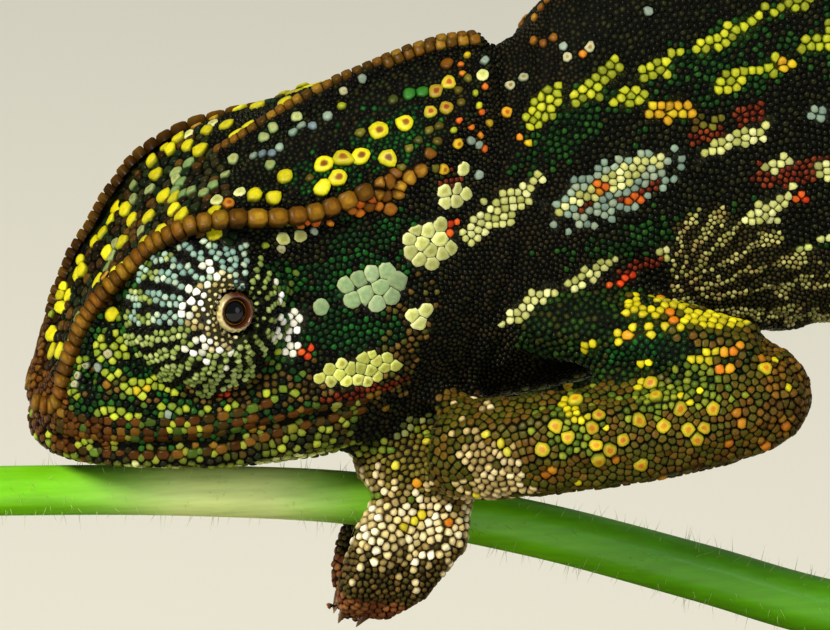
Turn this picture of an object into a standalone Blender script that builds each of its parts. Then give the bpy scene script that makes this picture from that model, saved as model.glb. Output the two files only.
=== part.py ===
# A life-size carpet chameleon walking along a cut length of stem, on a plain display stand.
# Points of the animal are (back, left, up) in millimetres: back from the snout tip, left of
# the midline and up from the mouth. place() turns them into metres in the stand's frame, whose
# origin is the middle of the base's underside. The animal faces -X and its left side is -Y.

import math

import bmesh
import bpy
from mathutils import Vector

MM = 0.001
GAP = 0.3  # clearance between neighbouring solids

SNOUT_X = -46.0  # snout tip, along the base from its middle
MOUTH_Z = 32.0  # mouth line above the base's underside
HEAD_ROLL = math.radians(8.0)  # the crown leans to the left
ROLL_AXIS_UP = 8.0
ROLL_ENDS_BACK = (20.0, 32.0)  # the lean fades out along the neck
RIGHT_BROW_LIFT = 1.5  # the right brow stands this much higher above the eye than the left

RING_HALF = 12  # steps round half a section, from crown to chin
CROWN_STEPS = 3  # of them, from the crown to the brow ridge
RINGS_PER_STATION = 2
SHARP_ANGLE = math.radians(40.0)
ROUND_END_ANGLES = [math.radians(angle) for angle in (30, 55, 75)]

# Lines of the left half of the head, from the snout to the nape, one point for each station.
CROWN = ((0.4, 0, 1.3), (1.7, 0, 3.6), (3.3, 0, 6.7), (5.6, 0, 9.9), (8.6, 0, 12.4),
         (11.6, 0, 14.75), (15.2, 0, 16.6), (18.8, 0, 17.9), (21.3, 0, 18.1))
BROW = ((0.35, 0.8, 1.35), (1.2, 2.0, 3.5), (2.6, 3.0, 7.0), (4.9, 4.15, 10.25), (8.0, 5.0, 11.5),
        (11.5, 5.25, 11.3), (15.0, 5.0, 12.35), (18.6, 4.3, 14.2), (21.2, 2.4, 16.9))
HOLLOW = ((0.3, 1.0, 1.0), (1.1, 2.3, 2.7), (2.6, 3.1, 5.6), (5.0, 3.7, 9.3), (8.1, 4.3, 10.4),
          (11.6, 4.7, 10.2), (15.2, 4.8, 10.7), (18.4, 4.5, 12.0), (20.7, 3.9, 13.8))
TEMPLE = ((0.25, 1.15, 0.7), (1.0, 2.7, 1.9), (2.6, 3.7, 3.8), (5.2, 4.1, 6.6), (8.2, 3.9, 7.0),
          (11.6, 4.7, 7.0), (14.8, 5.1, 6.8), (17.6, 4.9, 7.6), (19.6, 4.6, 9.0))
CHEEK = ((0.25, 1.2, 0.45), (1.0, 2.8, 1.2), (2.6, 4.3, 1.8), (5.2, 5.1, 2.4), (8.2, 5.5, 2.6),
         (11.4, 5.8, 2.9), (14.2, 5.8, 3.1), (16.6, 5.3, 3.8), (18.3, 4.8, 4.8))
LIP = ((0.25, 1.15, 0.1), (1.0, 2.7, 0.15), (2.6, 4.2, 0.2), (5.2, 5.0, 0.3), (8.2, 5.5, 0.5),
       (11.2, 5.7, 1.45), (13.6, 5.5, 1.75), (15.8, 5.0, 1.9), (17.4, 4.5, 2.4))
JAW = ((0.4, 0.9, -0.55), (1.1, 2.2, -0.95), (2.6, 3.6, -1.1), (5.2, 4.5, -1.15), (8.0, 5.0, -1.2),
       (10.8, 5.0, -1.2), (12.8, 4.7, -1.15), (14.8, 4.1, -1.05), (16.4, 3.5, -0.85))
CHIN = ((0.45, 0, -0.75), (1.1, 0, -1.3), (2.6, 0, -1.6), (5.2, 0, -1.75), (8.0, 0, -1.8),
        (10.6, 0, -1.8), (12.6, 0, -1.75), (14.4, 0, -1.65), (16.0, 0, -1.4))
# The dip behind the casque, on the same lines.
NAPE = ((22.0, 0, 17.1), (21.9, 1.8, 16.4), (21.5, 3.5, 13.9), (20.7, 4.4, 9.6), (19.6, 4.6, 5.6),
        (18.7, 4.2, 2.9), (17.6, 3.3, -0.3), (17.0, 0, -1.1))

# Sections of the neck and trunk: (back, up) of the spine, (back, up) of the belly, half width.
TRUNK = (((24.3, 19.4), (19.6, -0.6), 4.6), ((29.0, 23.0), (25.2, 0.5), 4.9),
         ((36.0, 26.0), (34.0, 2.3), 5.4), ((44.0, 27.6), (44.0, 3.4), 5.9),
         ((52.5, 28.0), (53.0, 4.3), 6.1), ((61.0, 26.8), (62.0, 5.2), 5.8),
         ((69.5, 23.2), (70.0, 6.6), 4.9), ((76.0, 19.0), (76.0, 8.4), 3.9),
         ((82.0, 16.2), (82.0, 10.0), 3.05))
SPINE_SHARPNESS = 1.25  # above 1 the back narrows to a keel
BELLY_FULLNESS = 0.75

# Where the body is parted: (back, up) of two points of each cut.
NAPE_CUT = ((21.7, 17.6), (16.5, -0.95))
SHOULDER_CUT = ((25.6, 20.5), (20.6, 0.2))

MOUTH = ((-2.0, 0.1), (2.6, 0.2), (5.2, 0.3), (8.2, 0.5), (11.2, 1.45), (13.6, 1.75), (14.9, 1.85))
JAW_BACK = (13.9, -4.0)
JAW_FRONT = (-2.0, -4.0)
JAW_REACH = 9.0  # half width of the block that takes the jaw from the head

TURRET = (7.75, 3.3, 6.5)
TURRET_RADIUS = 3.85
TURRET_INNER = 1.0  # flat inner face, left of the midline
EYE_DEPTH = 2.85  # eyeball centre from the turret's centre
EYE_RADIUS = 0.95
LEFT_GAZE = (0.22, 0.93, 0.27)
RIGHT_GAZE = (-0.35, -0.92, 0.10)

TAIL_START = (82.3, 13.1)
TAIL_PULLS = ((93.0, 12.9), (106.0, 10.5))  # handles of the tail's first, nearly straight run
COIL_CENTRE = (118.0, -1.0)
COIL_RADII = (11.5, 3.0)
COIL_TURNS = 1.4
TAIL_RADII = (3.1, 0.5)
TAIL_TAPER = 1.15
TAIL_LENGTHS = 6
RUN_STEPS = 12
COIL_STEPS = 36

# Limb routes: (back, left, up, radius) from the body to the foot.
ARM = ((22.8, 2.4, 4.6, 1.9), (28.0, 5.8, 4.1, 2.15), (32.2, 7.0, 2.6, 2.5))
FOREARM = ((32.7, 7.0, 1.3, 2.85), (29.6, 7.1, 0.45, 2.7), (26.4, 7.0, -0.1, 2.55),
           (23.4, 6.5, -0.45, 2.5), (20.9, 5.1, -0.95, 2.55), (19.2, 3.5, -1.2, 2.4))
LIFTED_ARM = ((23.0, -2.4, 5.0, 1.8), (26.4, -7.4, 1.4, 2.05), (28.4, -10.6, -2.2, 2.3))
LIFTED_FOREARM = ((28.8, -11.2, -3.2, 2.4), (24.6, -11.9, -1.2, 2.5), (20.4, -12.3, 1.0, 2.1),
                  (16.8, -12.2, 3.0, 1.9))
THIGH_LEFT = ((74.5, 2.2, 11.0, 2.7), (70.0, 6.0, 7.0, 2.6), (66.8, 8.2, 2.6, 2.1))
SHIN_LEFT = ((66.5, 8.5, 1.3, 2.2), (68.2, 6.8, -3.5, 2.2), (70.6, 3.0, -9.2, 1.9))
THIGH_RIGHT = ((76.0, -2.2, 11.0, 2.7), (74.9, -6.0, 6.8, 2.6), (73.7, -8.2, 2.4, 2.1))
SHIN_RIGHT = ((73.4, -8.5, 1.1, 2.2), (76.0, -6.6, -3.2, 2.2), (79.6, -3.0, -7.8, 1.9))

# A foot, about the stem's centre: (back, out to its own side, up, radius) along each toe.
TWO_TOES = (
    ((0.4, 2.2, 1.7, 1.3), (-1.2, 3.1, -0.9, 1.5), (-2.0, 2.7, -2.9, 1.3), (-2.3, 1.7, -4.0, 0.95)),
    ((2.4, 2.3, 1.6, 1.3), (1.6, 3.1, -0.9, 1.5), (0.1, 2.8, -3.0, 1.35), (-1.0, 1.7, -4.3, 1.0)),
)
THREE_TOES = (
    ((0.9, 1.5, 1.8, 1.0), (-0.5, 2.9, -1.0, 1.15), (-1.4, 2.5, -3.0, 1.0), (-2.0, 1.5, -4.1, 0.75)),
    ((2.0, 1.5, 1.7, 1.0), (1.1, 3.0, -1.0, 1.15), (-0.1, 2.7, -3.1, 1.0), (-1.3, 1.6, -4.3, 0.75)),
    ((3.0, 1.5, 1.5, 1.0), (2.7, 2.9, -1.1, 1.15), (1.3, 2.7, -3.2, 1.0), (-0.4, 1.7, -4.5, 0.75)),
)
PALM = (1.0, 1.2, 2.3)  # its middle
PALM_SIZE = (3.2, 3.0, 1.9)
TOE_END = ((0.45, 0.85), (0.75, 0.3))  # how far past the last joint, and how thick, in its radii
CLAW_RADIUS = 0.25
CLAW_LENGTH = 0.9
CLAW_CURL = (-0.3, 0, -0.2)  # forward and down
GRIPS = {"front_left": 17.3, "hind_left": 69.6, "hind_right": 78.6}  # back, along the stem
LIFTED_GRIP = (13.3, -11.2, 1.2)

# The stem: (back, left, up, radius) along its centre.
STEM = ((-10, 0, -2.6, 1.14), (0, 0, -3.0, 1.15), (8, 0, -3.5, 1.18), (16, 0, -4.4, 1.24),
        (24, 0, -6.3, 1.3), (32, 0, -8.9, 1.36), (38, 0, -11.0, 1.4), (46, 0, -13.0, 1.42),
        (56, 0, -14.3, 1.43), (68, 0, -14.0, 1.44), (80, 0, -12.5, 1.45), (92, 0, -10.5, 1.45),
        (100, 0, -9.0, 1.45))

BASE_SIZE = (120.0, 50.0, 6.0)
BASE_EDGE = 1.2
ROD_RADIUS = 1.5
RODS_BACK = {"stand_rod_front": -5.0, "stand_rod_rear": 93.0}


def place(back, left, up):
    """The world point, in metres, of a point of the animal."""
    return Vector((SNOUT_X + back, -left, MOUTH_Z + up)) * MM


def roll_at(back):
    start, end = ROLL_ENDS_BACK
    t = min(max((back - start) / (end - start), 0.0), 1.0)
    return HEAD_ROLL * (1 - t * t * (3 - 2 * t))


def eased(t):
    t = min(max(t, 0.0), 1.0)
    return t * t * (3 - 2 * t)


def brow_lift(back, left, up):
    """How much higher the head's right side is here than its left side."""
    along_head = eased((back - 3.5) / 8.5) * (1 - eased((back - 13) / 8))
    return RIGHT_BROW_LIFT * along_head * eased(-left / 4.5) * eased((up - 7.5) / 4)


def rolled(back, left, up):
    """A point of the upright head or neck, leaned over with it and placed."""
    up += brow_lift(back, left, up)
    c, s = math.cos(roll_at(back)), math.sin(roll_at(back))
    rise = up - ROLL_AXIS_UP
    return place(back, left * c + rise * s, ROLL_AXIS_UP + rise * c - left * s)


def along(points, t):
    """The point at t, counted in points, on a smooth curve through them all."""
    last = len(points) - 1
    i = min(int(t), last - 1)
    t -= i
    a, b, c, d = (Vector(points[min(max(i + k, 0), last)]) for k in (-1, 0, 1, 2))
    return 0.5 * (2 * b + (c - a) * t + (2 * a - 5 * b + 4 * c - d) * t**2 + (3 * b - a - 3 * c + d) * t**3)


def sampled(points, steps):
    """Points along the smooth curve, with so many steps between each pair."""
    count = (len(points) - 1) * steps
    return [along(points, k / steps) for k in range(count + 1)]


# Collections, materials and objects


def clear_scene():
    for obj in list(bpy.data.objects):
        bpy.data.objects.remove(obj)


def new_collection(name):
    collection = bpy.data.collections.new(name)
    bpy.context.scene.collection.children.link(collection)
    return collection


def finish(obj, colour, roughness):
    material = bpy.data.materials.new(obj.name)
    material.use_nodes = True
    shader = material.node_tree.nodes["Principled BSDF"]
    shader.inputs["Base Color"].default_value = (*colour, 1)
    shader.inputs["Roughness"].default_value = roughness
    obj.data.materials.clear()
    obj.data.materials.append(material)
    return obj


def mesh_object(name, bm, collection):
    bmesh.ops.recalc_face_normals(bm, faces=bm.faces)
    mesh = bpy.data.meshes.new(name)
    bm.to_mesh(mesh)
    bm.free()
    mesh.shade_smooth()
    mesh.set_sharp_from_angle(angle=SHARP_ANGLE)
    obj = bpy.data.objects.new(name, mesh)
    collection.objects.link(obj)
    return obj


def copy_of(obj, name, collection):
    copy = bpy.data.objects.new(name, obj.data.copy())
    collection.objects.link(copy)
    return copy


def cutter(obj):
    obj.hide_render = True
    obj.display_type = "WIRE"
    return obj


def grown(obj, by=GAP):
    """A cutter: the object's plain shape with its surface moved out by so much."""
    copy = copy_of(obj, obj.name + "_clearance", cutters)
    bm = bmesh.new()
    bm.from_mesh(copy.data)
    bm.normal_update()
    for vert, normal in [(v, v.normal.copy()) for v in bm.verts]:
        vert.co += normal * by * MM
    bm.to_mesh(copy.data)
    bm.free()
    return cutter(copy)


def boolean(obj, other, operation="DIFFERENCE"):
    modifier = obj.modifiers.new(operation.title() + " " + other.name, "BOOLEAN")
    modifier.operation = operation
    modifier.solver = "EXACT"
    modifier.use_self = True  # tight bends of the toes cross themselves
    modifier.object = other


# Shapes


def loft(name, rings, collection):
    """A closed skin over rings of equal count, each end closed by a fan."""
    bm = bmesh.new()
    rows = [[bm.verts.new(point) for point in ring] for ring in rings]
    for low, high in zip(rows, rows[1:]):
        for i in range(len(low)):
            j = (i + 1) % len(low)
            bm.faces.new((low[i], low[j], high[j], high[i]))
    for row in (rows[0], rows[-1]):
        middle = bm.verts.new(sum((v.co for v in row), Vector()) / len(row))
        for i in range(len(row)):
            bm.faces.new((row[i], row[(i + 1) % len(row)], middle))
    return mesh_object(name, bm, collection)


def keep_side(obj, point, normal):
    """Cuts the object with a plane, drops the side that the normal points to and closes it."""
    bm = bmesh.new()
    bm.from_mesh(obj.data)
    everything = bm.verts[:] + bm.edges[:] + bm.faces[:]
    bmesh.ops.bisect_plane(bm, geom=everything, plane_co=point, plane_no=normal, clear_outer=True)
    bmesh.ops.holes_fill(bm, edges=[e for e in bm.edges if e.is_boundary], sides=0)
    bmesh.ops.recalc_face_normals(bm, faces=bm.faces)
    bm.to_mesh(obj.data)
    bm.free()


def parted(body, name, front_cut=None, rear_cut=None):
    """The length of the body between two cuts, each a pair of (back, up) points."""
    piece = copy_of(body, name, parts)
    for cut, facing in ((front_cut, 1), (rear_cut, -1)):
        if cut:
            (top_back, top_up), (low_back, low_up) = cut
            normal = Vector((low_up - top_up, 0, top_back - low_back)).normalized() * facing
            middle = place((top_back + low_back) / 2, 0, (top_up + low_up) / 2)
            keep_side(piece, middle - normal * GAP / 2 * MM, normal)
    return piece


def ball(name, centre, size, collection, segments=16, rings=10):
    """A sphere, or an ellipsoid where size gives three half widths (back, left, up)."""
    bm = bmesh.new()
    bmesh.ops.create_uvsphere(bm, u_segments=segments, v_segments=rings, radius=MM)
    bmesh.ops.scale(bm, vec=Vector(size), verts=bm.verts)
    bmesh.ops.translate(bm, vec=centre, verts=bm.verts)
    return mesh_object(name, bm, collection)


def rounding(end, way):
    """Route points that carry a tube on, past its end, as a half ball."""
    return [Vector((*(end.xyz + way * end.w * math.sin(a)), end.w * math.cos(a))) for a in ROUND_END_ANGLES]


def tube(name, route, collection, resolution=2, round_start=False, round_end=False):
    """A solid tube along (back, left, up, radius) points, with round or flat ends."""
    points = [Vector(point) for point in route]
    start, end = points[0], points[-1]
    before = (start.xyz - points[1].xyz).normalized()
    after = (end.xyz - points[-2].xyz).normalized()
    if round_start:
        points = rounding(start, before)[::-1] + points
    if round_end:
        points += rounding(end, after)
    curve = bpy.data.curves.new(name, "CURVE")
    curve.dimensions = "3D"
    curve.bevel_depth = MM
    curve.bevel_resolution = resolution
    curve.use_fill_caps = True
    spline = curve.splines.new("POLY")
    spline.points.add(len(points) - 1)
    for spot, point in zip(spline.points, points):
        spot.co = (*place(*point.xyz), 1)
        spot.radius = point.w
    guide = bpy.data.objects.new(name + "_route", curve)
    collection.objects.link(guide)
    bpy.context.view_layer.update()
    evaluated = guide.evaluated_get(bpy.context.evaluated_depsgraph_get())
    mesh = bpy.data.meshes.new_from_object(evaluated)
    bpy.data.objects.remove(guide)
    bm = bmesh.new()
    bm.from_mesh(mesh)
    bpy.data.meshes.remove(mesh)
    bmesh.ops.remove_doubles(bm, verts=bm.verts, dist=0.001 * MM)
    return mesh_object(name, bm, collection)


# The head, neck and trunk


def half_section(lines):
    """Half a head section from crown to chin: the crown runs to the brow, which is a ridge."""
    crown, side = lines[:2], lines[1:]
    points = [along(crown, k / CROWN_STEPS) for k in range(CROWN_STEPS)]
    side_steps = RING_HALF - CROWN_STEPS
    return points + [along(side, k * (len(side) - 1) / side_steps) for k in range(side_steps + 1)]


def trunk_section(spine, belly, half_width):
    """Half a section of the neck or trunk: a leaf shape with a keeled back and a round belly."""
    points = []
    for step in range(RING_HALF + 1):
        angle = math.pi * step / RING_HALF
        down = (1 - math.cos(angle)) / 2
        power = SPINE_SHARPNESS if down < 0.5 else BELLY_FULLNESS
        left = half_width * max(math.sin(angle), 0.0) ** power
        points.append(Vector((*Vector(spine).lerp(Vector(belly), down), left)).xzy)
    return points


def body_loft():
    head_lines = (CROWN, BROW, HOLLOW, TEMPLE, CHEEK, LIP, JAW, CHIN)
    sections = [half_section([line[k] for line in head_lines]) for k in range(len(CROWN))]
    sections.append(half_section(NAPE))
    sections += [trunk_section(*station) for station in TRUNK]
    rings = []
    for k in range((len(sections) - 1) * RINGS_PER_STATION + 1):
        half = [along([s[i] for s in sections], k / RINGS_PER_STATION) for i in range(RING_HALF + 1)]
        left = [rolled(p.x, p.y, p.z) for p in half]
        right = [rolled(p.x, -p.y, p.z) for p in half[-2:0:-1]]
        rings.append(left + right)
    return cutter(loft("body_outline", rings, cutters))


def jaw_block():
    """The block below the mouth line, as wide as the head, which holds the lower jaw."""
    outline = [*MOUTH, JAW_BACK, JAW_FRONT]
    bm = bmesh.new()
    rows = [[bm.verts.new(rolled(b, left, u)) for b, u in outline] for left in (JAW_REACH, -JAW_REACH)]
    for i in range(len(outline)):
        j = (i + 1) % len(outline)
        bm.faces.new((rows[0][i], rows[0][j], rows[1][j], rows[1][i]))
    for row in rows:
        bm.faces.new(row)
    return cutter(mesh_object("jaw_block", bm, cutters))


def make_eye(side, sign, gaze, head):
    """A turret with a flat inner face, the eyeball in its opening and its socket in the head."""
    back, left, up = TURRET
    centre = rolled(back, sign * left, up)
    turret = ball("eye_turret_" + side, centre, [TURRET_RADIUS] * 3, parts)
    socket = ball("socket_" + side, centre, [TURRET_RADIUS + GAP] * 3, cutters, 12, 8)
    inward = rolled(back, 0, up) - rolled(back, sign, up)
    keep_side(turret, rolled(back, sign * TURRET_INNER, up), inward)
    keep_side(socket, rolled(back, sign * (TURRET_INNER - GAP), up), inward)
    boolean(head, cutter(socket))
    look = (rolled(*(Vector(TURRET) + Vector(gaze))) - rolled(*TURRET)).normalized()
    eye_centre = centre + look * EYE_DEPTH * MM
    eye = ball("eye_" + side, eye_centre, [EYE_RADIUS] * 3, parts, 12, 8)
    boolean(turret, grown(eye))
    finish(turret, (0.09, 0.12, 0.08), 0.5)
    finish(eye, (0.01, 0.01, 0.01), 0.1)


def make_body():
    body = body_loft()
    head = parted(body, "head", rear_cut=NAPE_CUT)
    jaw = copy_of(head, "lower_jaw", parts)
    block = jaw_block()
    boolean(jaw, block, "INTERSECT")
    boolean(head, grown(block))
    make_eye("left", 1, LEFT_GAZE, head)
    make_eye("right", -1, RIGHT_GAZE, head)
    neck = parted(body, "neck", NAPE_CUT, SHOULDER_CUT)
    trunk = parted(body, "trunk", front_cut=SHOULDER_CUT)
    for piece in (head, jaw, neck, trunk):
        finish(piece, (0.05, 0.07, 0.02), 0.5)
    return head, neck, trunk


def make_tail():
    """The tail runs back nearly straight and rolls under into a flat coil."""
    start, end = Vector(TAIL_START), Vector(COIL_CENTRE) + Vector((0, COIL_RADII[0]))
    pulls = [Vector(pull) for pull in TAIL_PULLS]
    run = []
    for k in range(RUN_STEPS):
        t = k / RUN_STEPS
        blend = ((1 - t) ** 3, 3 * t * (1 - t) ** 2, 3 * t**2 * (1 - t), t**3)
        run.append(sum((w * p for w, p in zip(blend, (start, *pulls, end))), Vector((0, 0))))
    coil = []
    for k in range(COIL_STEPS + 1):
        t = k / COIL_STEPS
        angle = math.pi / 2 - 2 * math.pi * COIL_TURNS * t
        radius = COIL_RADII[0] + (COIL_RADII[1] - COIL_RADII[0]) * t
        coil.append(Vector(COIL_CENTRE) + radius * Vector((math.cos(angle), math.sin(angle))))
    centre = run + coil
    travelled = [0.0]
    for a, b in zip(centre, centre[1:]):
        travelled.append(travelled[-1] + (b - a).length)
    route = []
    for point, distance in zip(centre, travelled):
        left_over = 1 - distance / travelled[-1]
        radius = TAIL_RADII[1] + (TAIL_RADII[0] - TAIL_RADII[1]) * left_over**TAIL_TAPER
        route.append(Vector((point.x, 0, point.y, radius)))
    steps = (len(route) - 1) // TAIL_LENGTHS
    for k in range(TAIL_LENGTHS):
        first, last = k * steps, (k + 1) * steps
        spare = route[max(first - 1, 0):last + 2]
        at_tip = k == TAIL_LENGTHS - 1
        piece = tube(f"tail_length_{k + 1}", spare, parts, 2 if k < 3 else 1, round_end=at_tip)
        if k:
            trim_end(piece, route, first, -1)
        if not at_tip:
            trim_end(piece, route, last, 1)
        finish(piece, (0.06, 0.08, 0.03), 0.5)


def trim_end(piece, route, i, facing):
    """Cuts a length of tail square across the route at point i, half a gap short of it."""
    way = (place(*route[i + 1].xyz) - place(*route[i - 1].xyz)).normalized() * facing
    keep_side(piece, place(*route[i].xyz) - way * GAP / 2 * MM, way)


# The limbs


def toe_tube(name, toe, centre, sign):
    """One toe with its claw, about the stem's centre."""
    route = [Vector((centre[0] + b, centre[1] + sign * out, centre[2] + u, r)) for b, out, u, r in toe]
    tip = route[-1]
    onward = (tip.xyz - route[-2].xyz).normalized()
    for reach, thickness in TOE_END:
        route.append(Vector((*(tip.xyz + onward * tip.w * reach), tip.w * thickness)))
    claw_way = (onward + Vector(CLAW_CURL)).normalized()
    route.append(Vector((*(route[-1].xyz + claw_way * CLAW_LENGTH), CLAW_RADIUS)))
    return tube(name, route, cutters, 1)


def make_bundle(name, toes, centre, sign, clearances):
    """Toes grown together into one half of the gripping foot."""
    first, *others = [toe_tube(f"{name}_toe_{k + 1}", toe, centre, sign) for k, toe in enumerate(toes)]
    bundle = copy_of(first, name, parts)
    cutter(first)
    for toe in others:
        boolean(bundle, cutter(toe), "UNION")
    for clearance in clearances:
        boolean(bundle, clearance)
    finish(bundle, (0.12, 0.08, 0.04), 0.6)


def make_limb(name, names, upper_route, lower_route, grip, outer, inner, trunk_clearances, stem_clearance):
    """A leg in five pieces: upper, lower, palm and the foot's outer and inner toes."""
    side = 1 if name.endswith("left") else -1
    b, out, u = PALM
    palm_centre = place(grip[0] + b, grip[1] + side * out, grip[2] + u)
    palm = ball(f"{name}_palm", palm_centre, PALM_SIZE, parts, 12, 8)
    palm_clearance = grown(palm)
    upper = tube(f"{name}_{names[0]}", sampled(upper_route, 3), parts)
    lower = tube(f"{name}_{names[1]}", sampled(lower_route, 3), parts, round_start=True)
    lower_clearance = grown(lower)
    boolean(upper, lower_clearance)
    boolean(lower, palm_clearance)
    boolean(palm, stem_clearance)
    for piece in (upper, lower, palm):
        for clearance in trunk_clearances:
            boolean(piece, clearance)
    around_toes = (palm_clearance, lower_clearance, stem_clearance)
    make_bundle(f"{name}_outer_toes", outer, grip, side, around_toes)
    make_bundle(f"{name}_inner_toes", inner, grip, -side, around_toes)
    for piece in (upper, lower, palm):
        finish(piece, (0.11, 0.10, 0.03), 0.5)


def stem_point(back):
    for a, b in zip(STEM, STEM[1:]):
        if back <= b[0]:
            return Vector(a).lerp(Vector(b), (back - a[0]) / (b[0] - a[0]))
    return Vector(STEM[-1])


def make_limbs(body_pieces, stem_clearance):
    flanks = [grown(piece) for piece in body_pieces]
    for name, upper, lower in (("front_left", ARM, FOREARM), ("front_right", LIFTED_ARM, LIFTED_FOREARM)):
        grip = stem_point(GRIPS[name]).xyz if name in GRIPS else Vector(LIFTED_GRIP)
        names = ("upper_arm", "forearm")
        make_limb(name, names, upper, lower, grip, TWO_TOES, THREE_TOES, flanks, stem_clearance)
    for name, upper, lower in (("hind_left", THIGH_LEFT, SHIN_LEFT), ("hind_right", THIGH_RIGHT, SHIN_RIGHT)):
        grip = stem_point(GRIPS[name]).xyz
        names = ("thigh", "shin")
        make_limb(name, names, upper, lower, grip, THREE_TOES, TWO_TOES, flanks, stem_clearance)


# The stem and its stand


def make_stand(stem_clearance):
    length, width, height = (side * MM for side in BASE_SIZE)
    bpy.ops.mesh.primitive_cube_add(size=1, location=(0, 0, height / 2))
    base = bpy.context.object
    base.name = "stand_base"
    base.data.transform(((length, 0, 0, 0), (0, width, 0, 0), (0, 0, height, 0), (0, 0, 0, 1)))
    bevel = base.modifiers.new("Edges", "BEVEL")
    bevel.width = BASE_EDGE * MM
    bevel.segments = 1
    move_to_parts(base)
    finish(base, (0.05, 0.03, 0.02), 0.4)
    for name, back in RODS_BACK.items():
        bottom = height + GAP * MM
        top = place(*stem_point(back).xyz).z
        bpy.ops.mesh.primitive_cylinder_add(vertices=12, radius=ROD_RADIUS * MM, depth=top - bottom,
                                            location=(place(back, 0, 0).x, 0, (top + bottom) / 2))
        rod = bpy.context.object
        rod.name = name
        rod.data.shade_smooth()
        rod.data.set_sharp_from_angle(angle=SHARP_ANGLE)
        boolean(rod, stem_clearance)
        move_to_parts(rod)
        finish(rod, (0.6, 0.6, 0.6), 0.3)


def move_to_parts(obj):
    for collection in list(obj.users_collection):
        collection.objects.unlink(obj)
    parts.objects.link(obj)


clear_scene()
parts = new_collection("Chameleon")
cutters = new_collection("Cutters")
stem = tube("perch_stem", sampled(STEM, 2), parts)
finish(stem, (0.15, 0.5, 0.03), 0.5)
clearance_of_stem = grown(stem)
body_pieces = make_body()
make_tail()
make_limbs(body_pieces, clearance_of_stem)
make_stand(clearance_of_stem)

mount = bpy.data.objects.new("stand_underside", None)
parts.objects.link(mount)
for piece in [obj for obj in parts.objects if obj.type == "MESH"]:
    piece.parent = mount
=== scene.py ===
import math

import bmesh
import bpy
import numpy as np
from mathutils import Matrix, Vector
from mathutils.bvhtree import BVHTree
from mathutils.kdtree import KDTree


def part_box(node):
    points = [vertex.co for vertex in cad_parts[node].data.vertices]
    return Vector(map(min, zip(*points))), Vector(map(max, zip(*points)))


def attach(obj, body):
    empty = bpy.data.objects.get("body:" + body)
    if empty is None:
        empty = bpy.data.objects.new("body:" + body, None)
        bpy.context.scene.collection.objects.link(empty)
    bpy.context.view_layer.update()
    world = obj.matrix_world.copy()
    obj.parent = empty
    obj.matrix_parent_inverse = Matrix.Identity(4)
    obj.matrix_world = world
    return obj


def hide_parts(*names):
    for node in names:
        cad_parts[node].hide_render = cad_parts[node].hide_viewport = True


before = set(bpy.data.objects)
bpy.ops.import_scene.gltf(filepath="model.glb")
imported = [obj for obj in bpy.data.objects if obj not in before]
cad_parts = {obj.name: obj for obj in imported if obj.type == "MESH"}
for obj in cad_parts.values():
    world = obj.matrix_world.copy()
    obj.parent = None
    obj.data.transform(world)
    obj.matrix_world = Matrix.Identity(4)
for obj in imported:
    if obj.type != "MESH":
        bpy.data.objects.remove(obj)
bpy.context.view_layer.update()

# Shapes are worked out in millimetres and written into the meshes in metres
mm = 0.001

# The animal's own directions are back from the snout tip, left of the midline and up from the mouth
body = {
    "snout": -46.0, "mouth": 32.0,  # where the snout tip and the mouth line stand in the frame
    "roll": 8.0, "rollAxis": 8.0,  # the crown leans this many degrees to the left
    "rollFades": (20.0, 32.0),  # and the lean fades out along the neck
    "rightBrow": 1.5,  # the right brow stands this much higher above the eye
}


def rollAt(back):
    start, end = body["rollFades"]
    t = np.clip((back - start) / (end - start), 0, 1)
    return math.radians(body["roll"]) * (1 - t * t * (3 - 2 * t))


def ease(t):
    t = np.clip(t, 0, 1)
    return t * t * (3 - 2 * t)


def browLift(back, left, up):
    alongHead = ease((back - 3.5) / 8.5) * (1 - ease((back - 13) / 8))
    return body["rightBrow"] * alongHead * ease(-left / 4.5) * ease((up - 7.5) / 4)


def toWorld(points):
    b = np.atleast_2d(np.asarray(points, float))
    k, rise = rollAt(b[:, 0]), b[:, 2] + browLift(*b.T) - body["rollAxis"]
    left = b[:, 1] * np.cos(k) + rise * np.sin(k)
    up = body["rollAxis"] + rise * np.cos(k) - b[:, 1] * np.sin(k)
    return np.stack([b[:, 0] + body["snout"], -left, up + body["mouth"]], 1)


def toBody(points):
    p = np.atleast_2d(np.asarray(points, float))
    back, left, up = p[:, 0] - body["snout"], -p[:, 1], p[:, 2] - body["mouth"]
    k, rise = rollAt(back), up - body["rollAxis"]
    level = left * np.cos(k) - rise * np.sin(k)
    lifted = body["rollAxis"] + rise * np.cos(k) + left * np.sin(k)
    up = lifted
    for _ in range(12):
        up = lifted - browLift(back, level, up)
    return np.stack([back, level, up], 1)


def unit(v):
    v = np.asarray(v, float)
    return v / np.maximum(np.linalg.norm(v, axis=-1, keepdims=True), 1e-12)


def dot(a, b):
    return (a * b).sum(-1)


def circle(sides, first, second):  # the angles of a circle's points, and the spokes that reach them
    turn = 2 * math.pi * np.arange(sides) / sides
    return turn, np.cos(turn)[:, None] * first + np.sin(turn)[:, None] * second


def evened(row, rounds):  # draws each value of a row towards its neighbours', in place
    for _ in range(rounds):
        row[1:-1] = (row[:-2] + 2 * row[1:-1] + row[2:]) / 4


def lookup(points):
    rows = points.tolist()
    tree = KDTree(len(rows))
    for i, place in enumerate(rows):
        tree.insert(place, i)
    tree.balance()
    return tree


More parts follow.
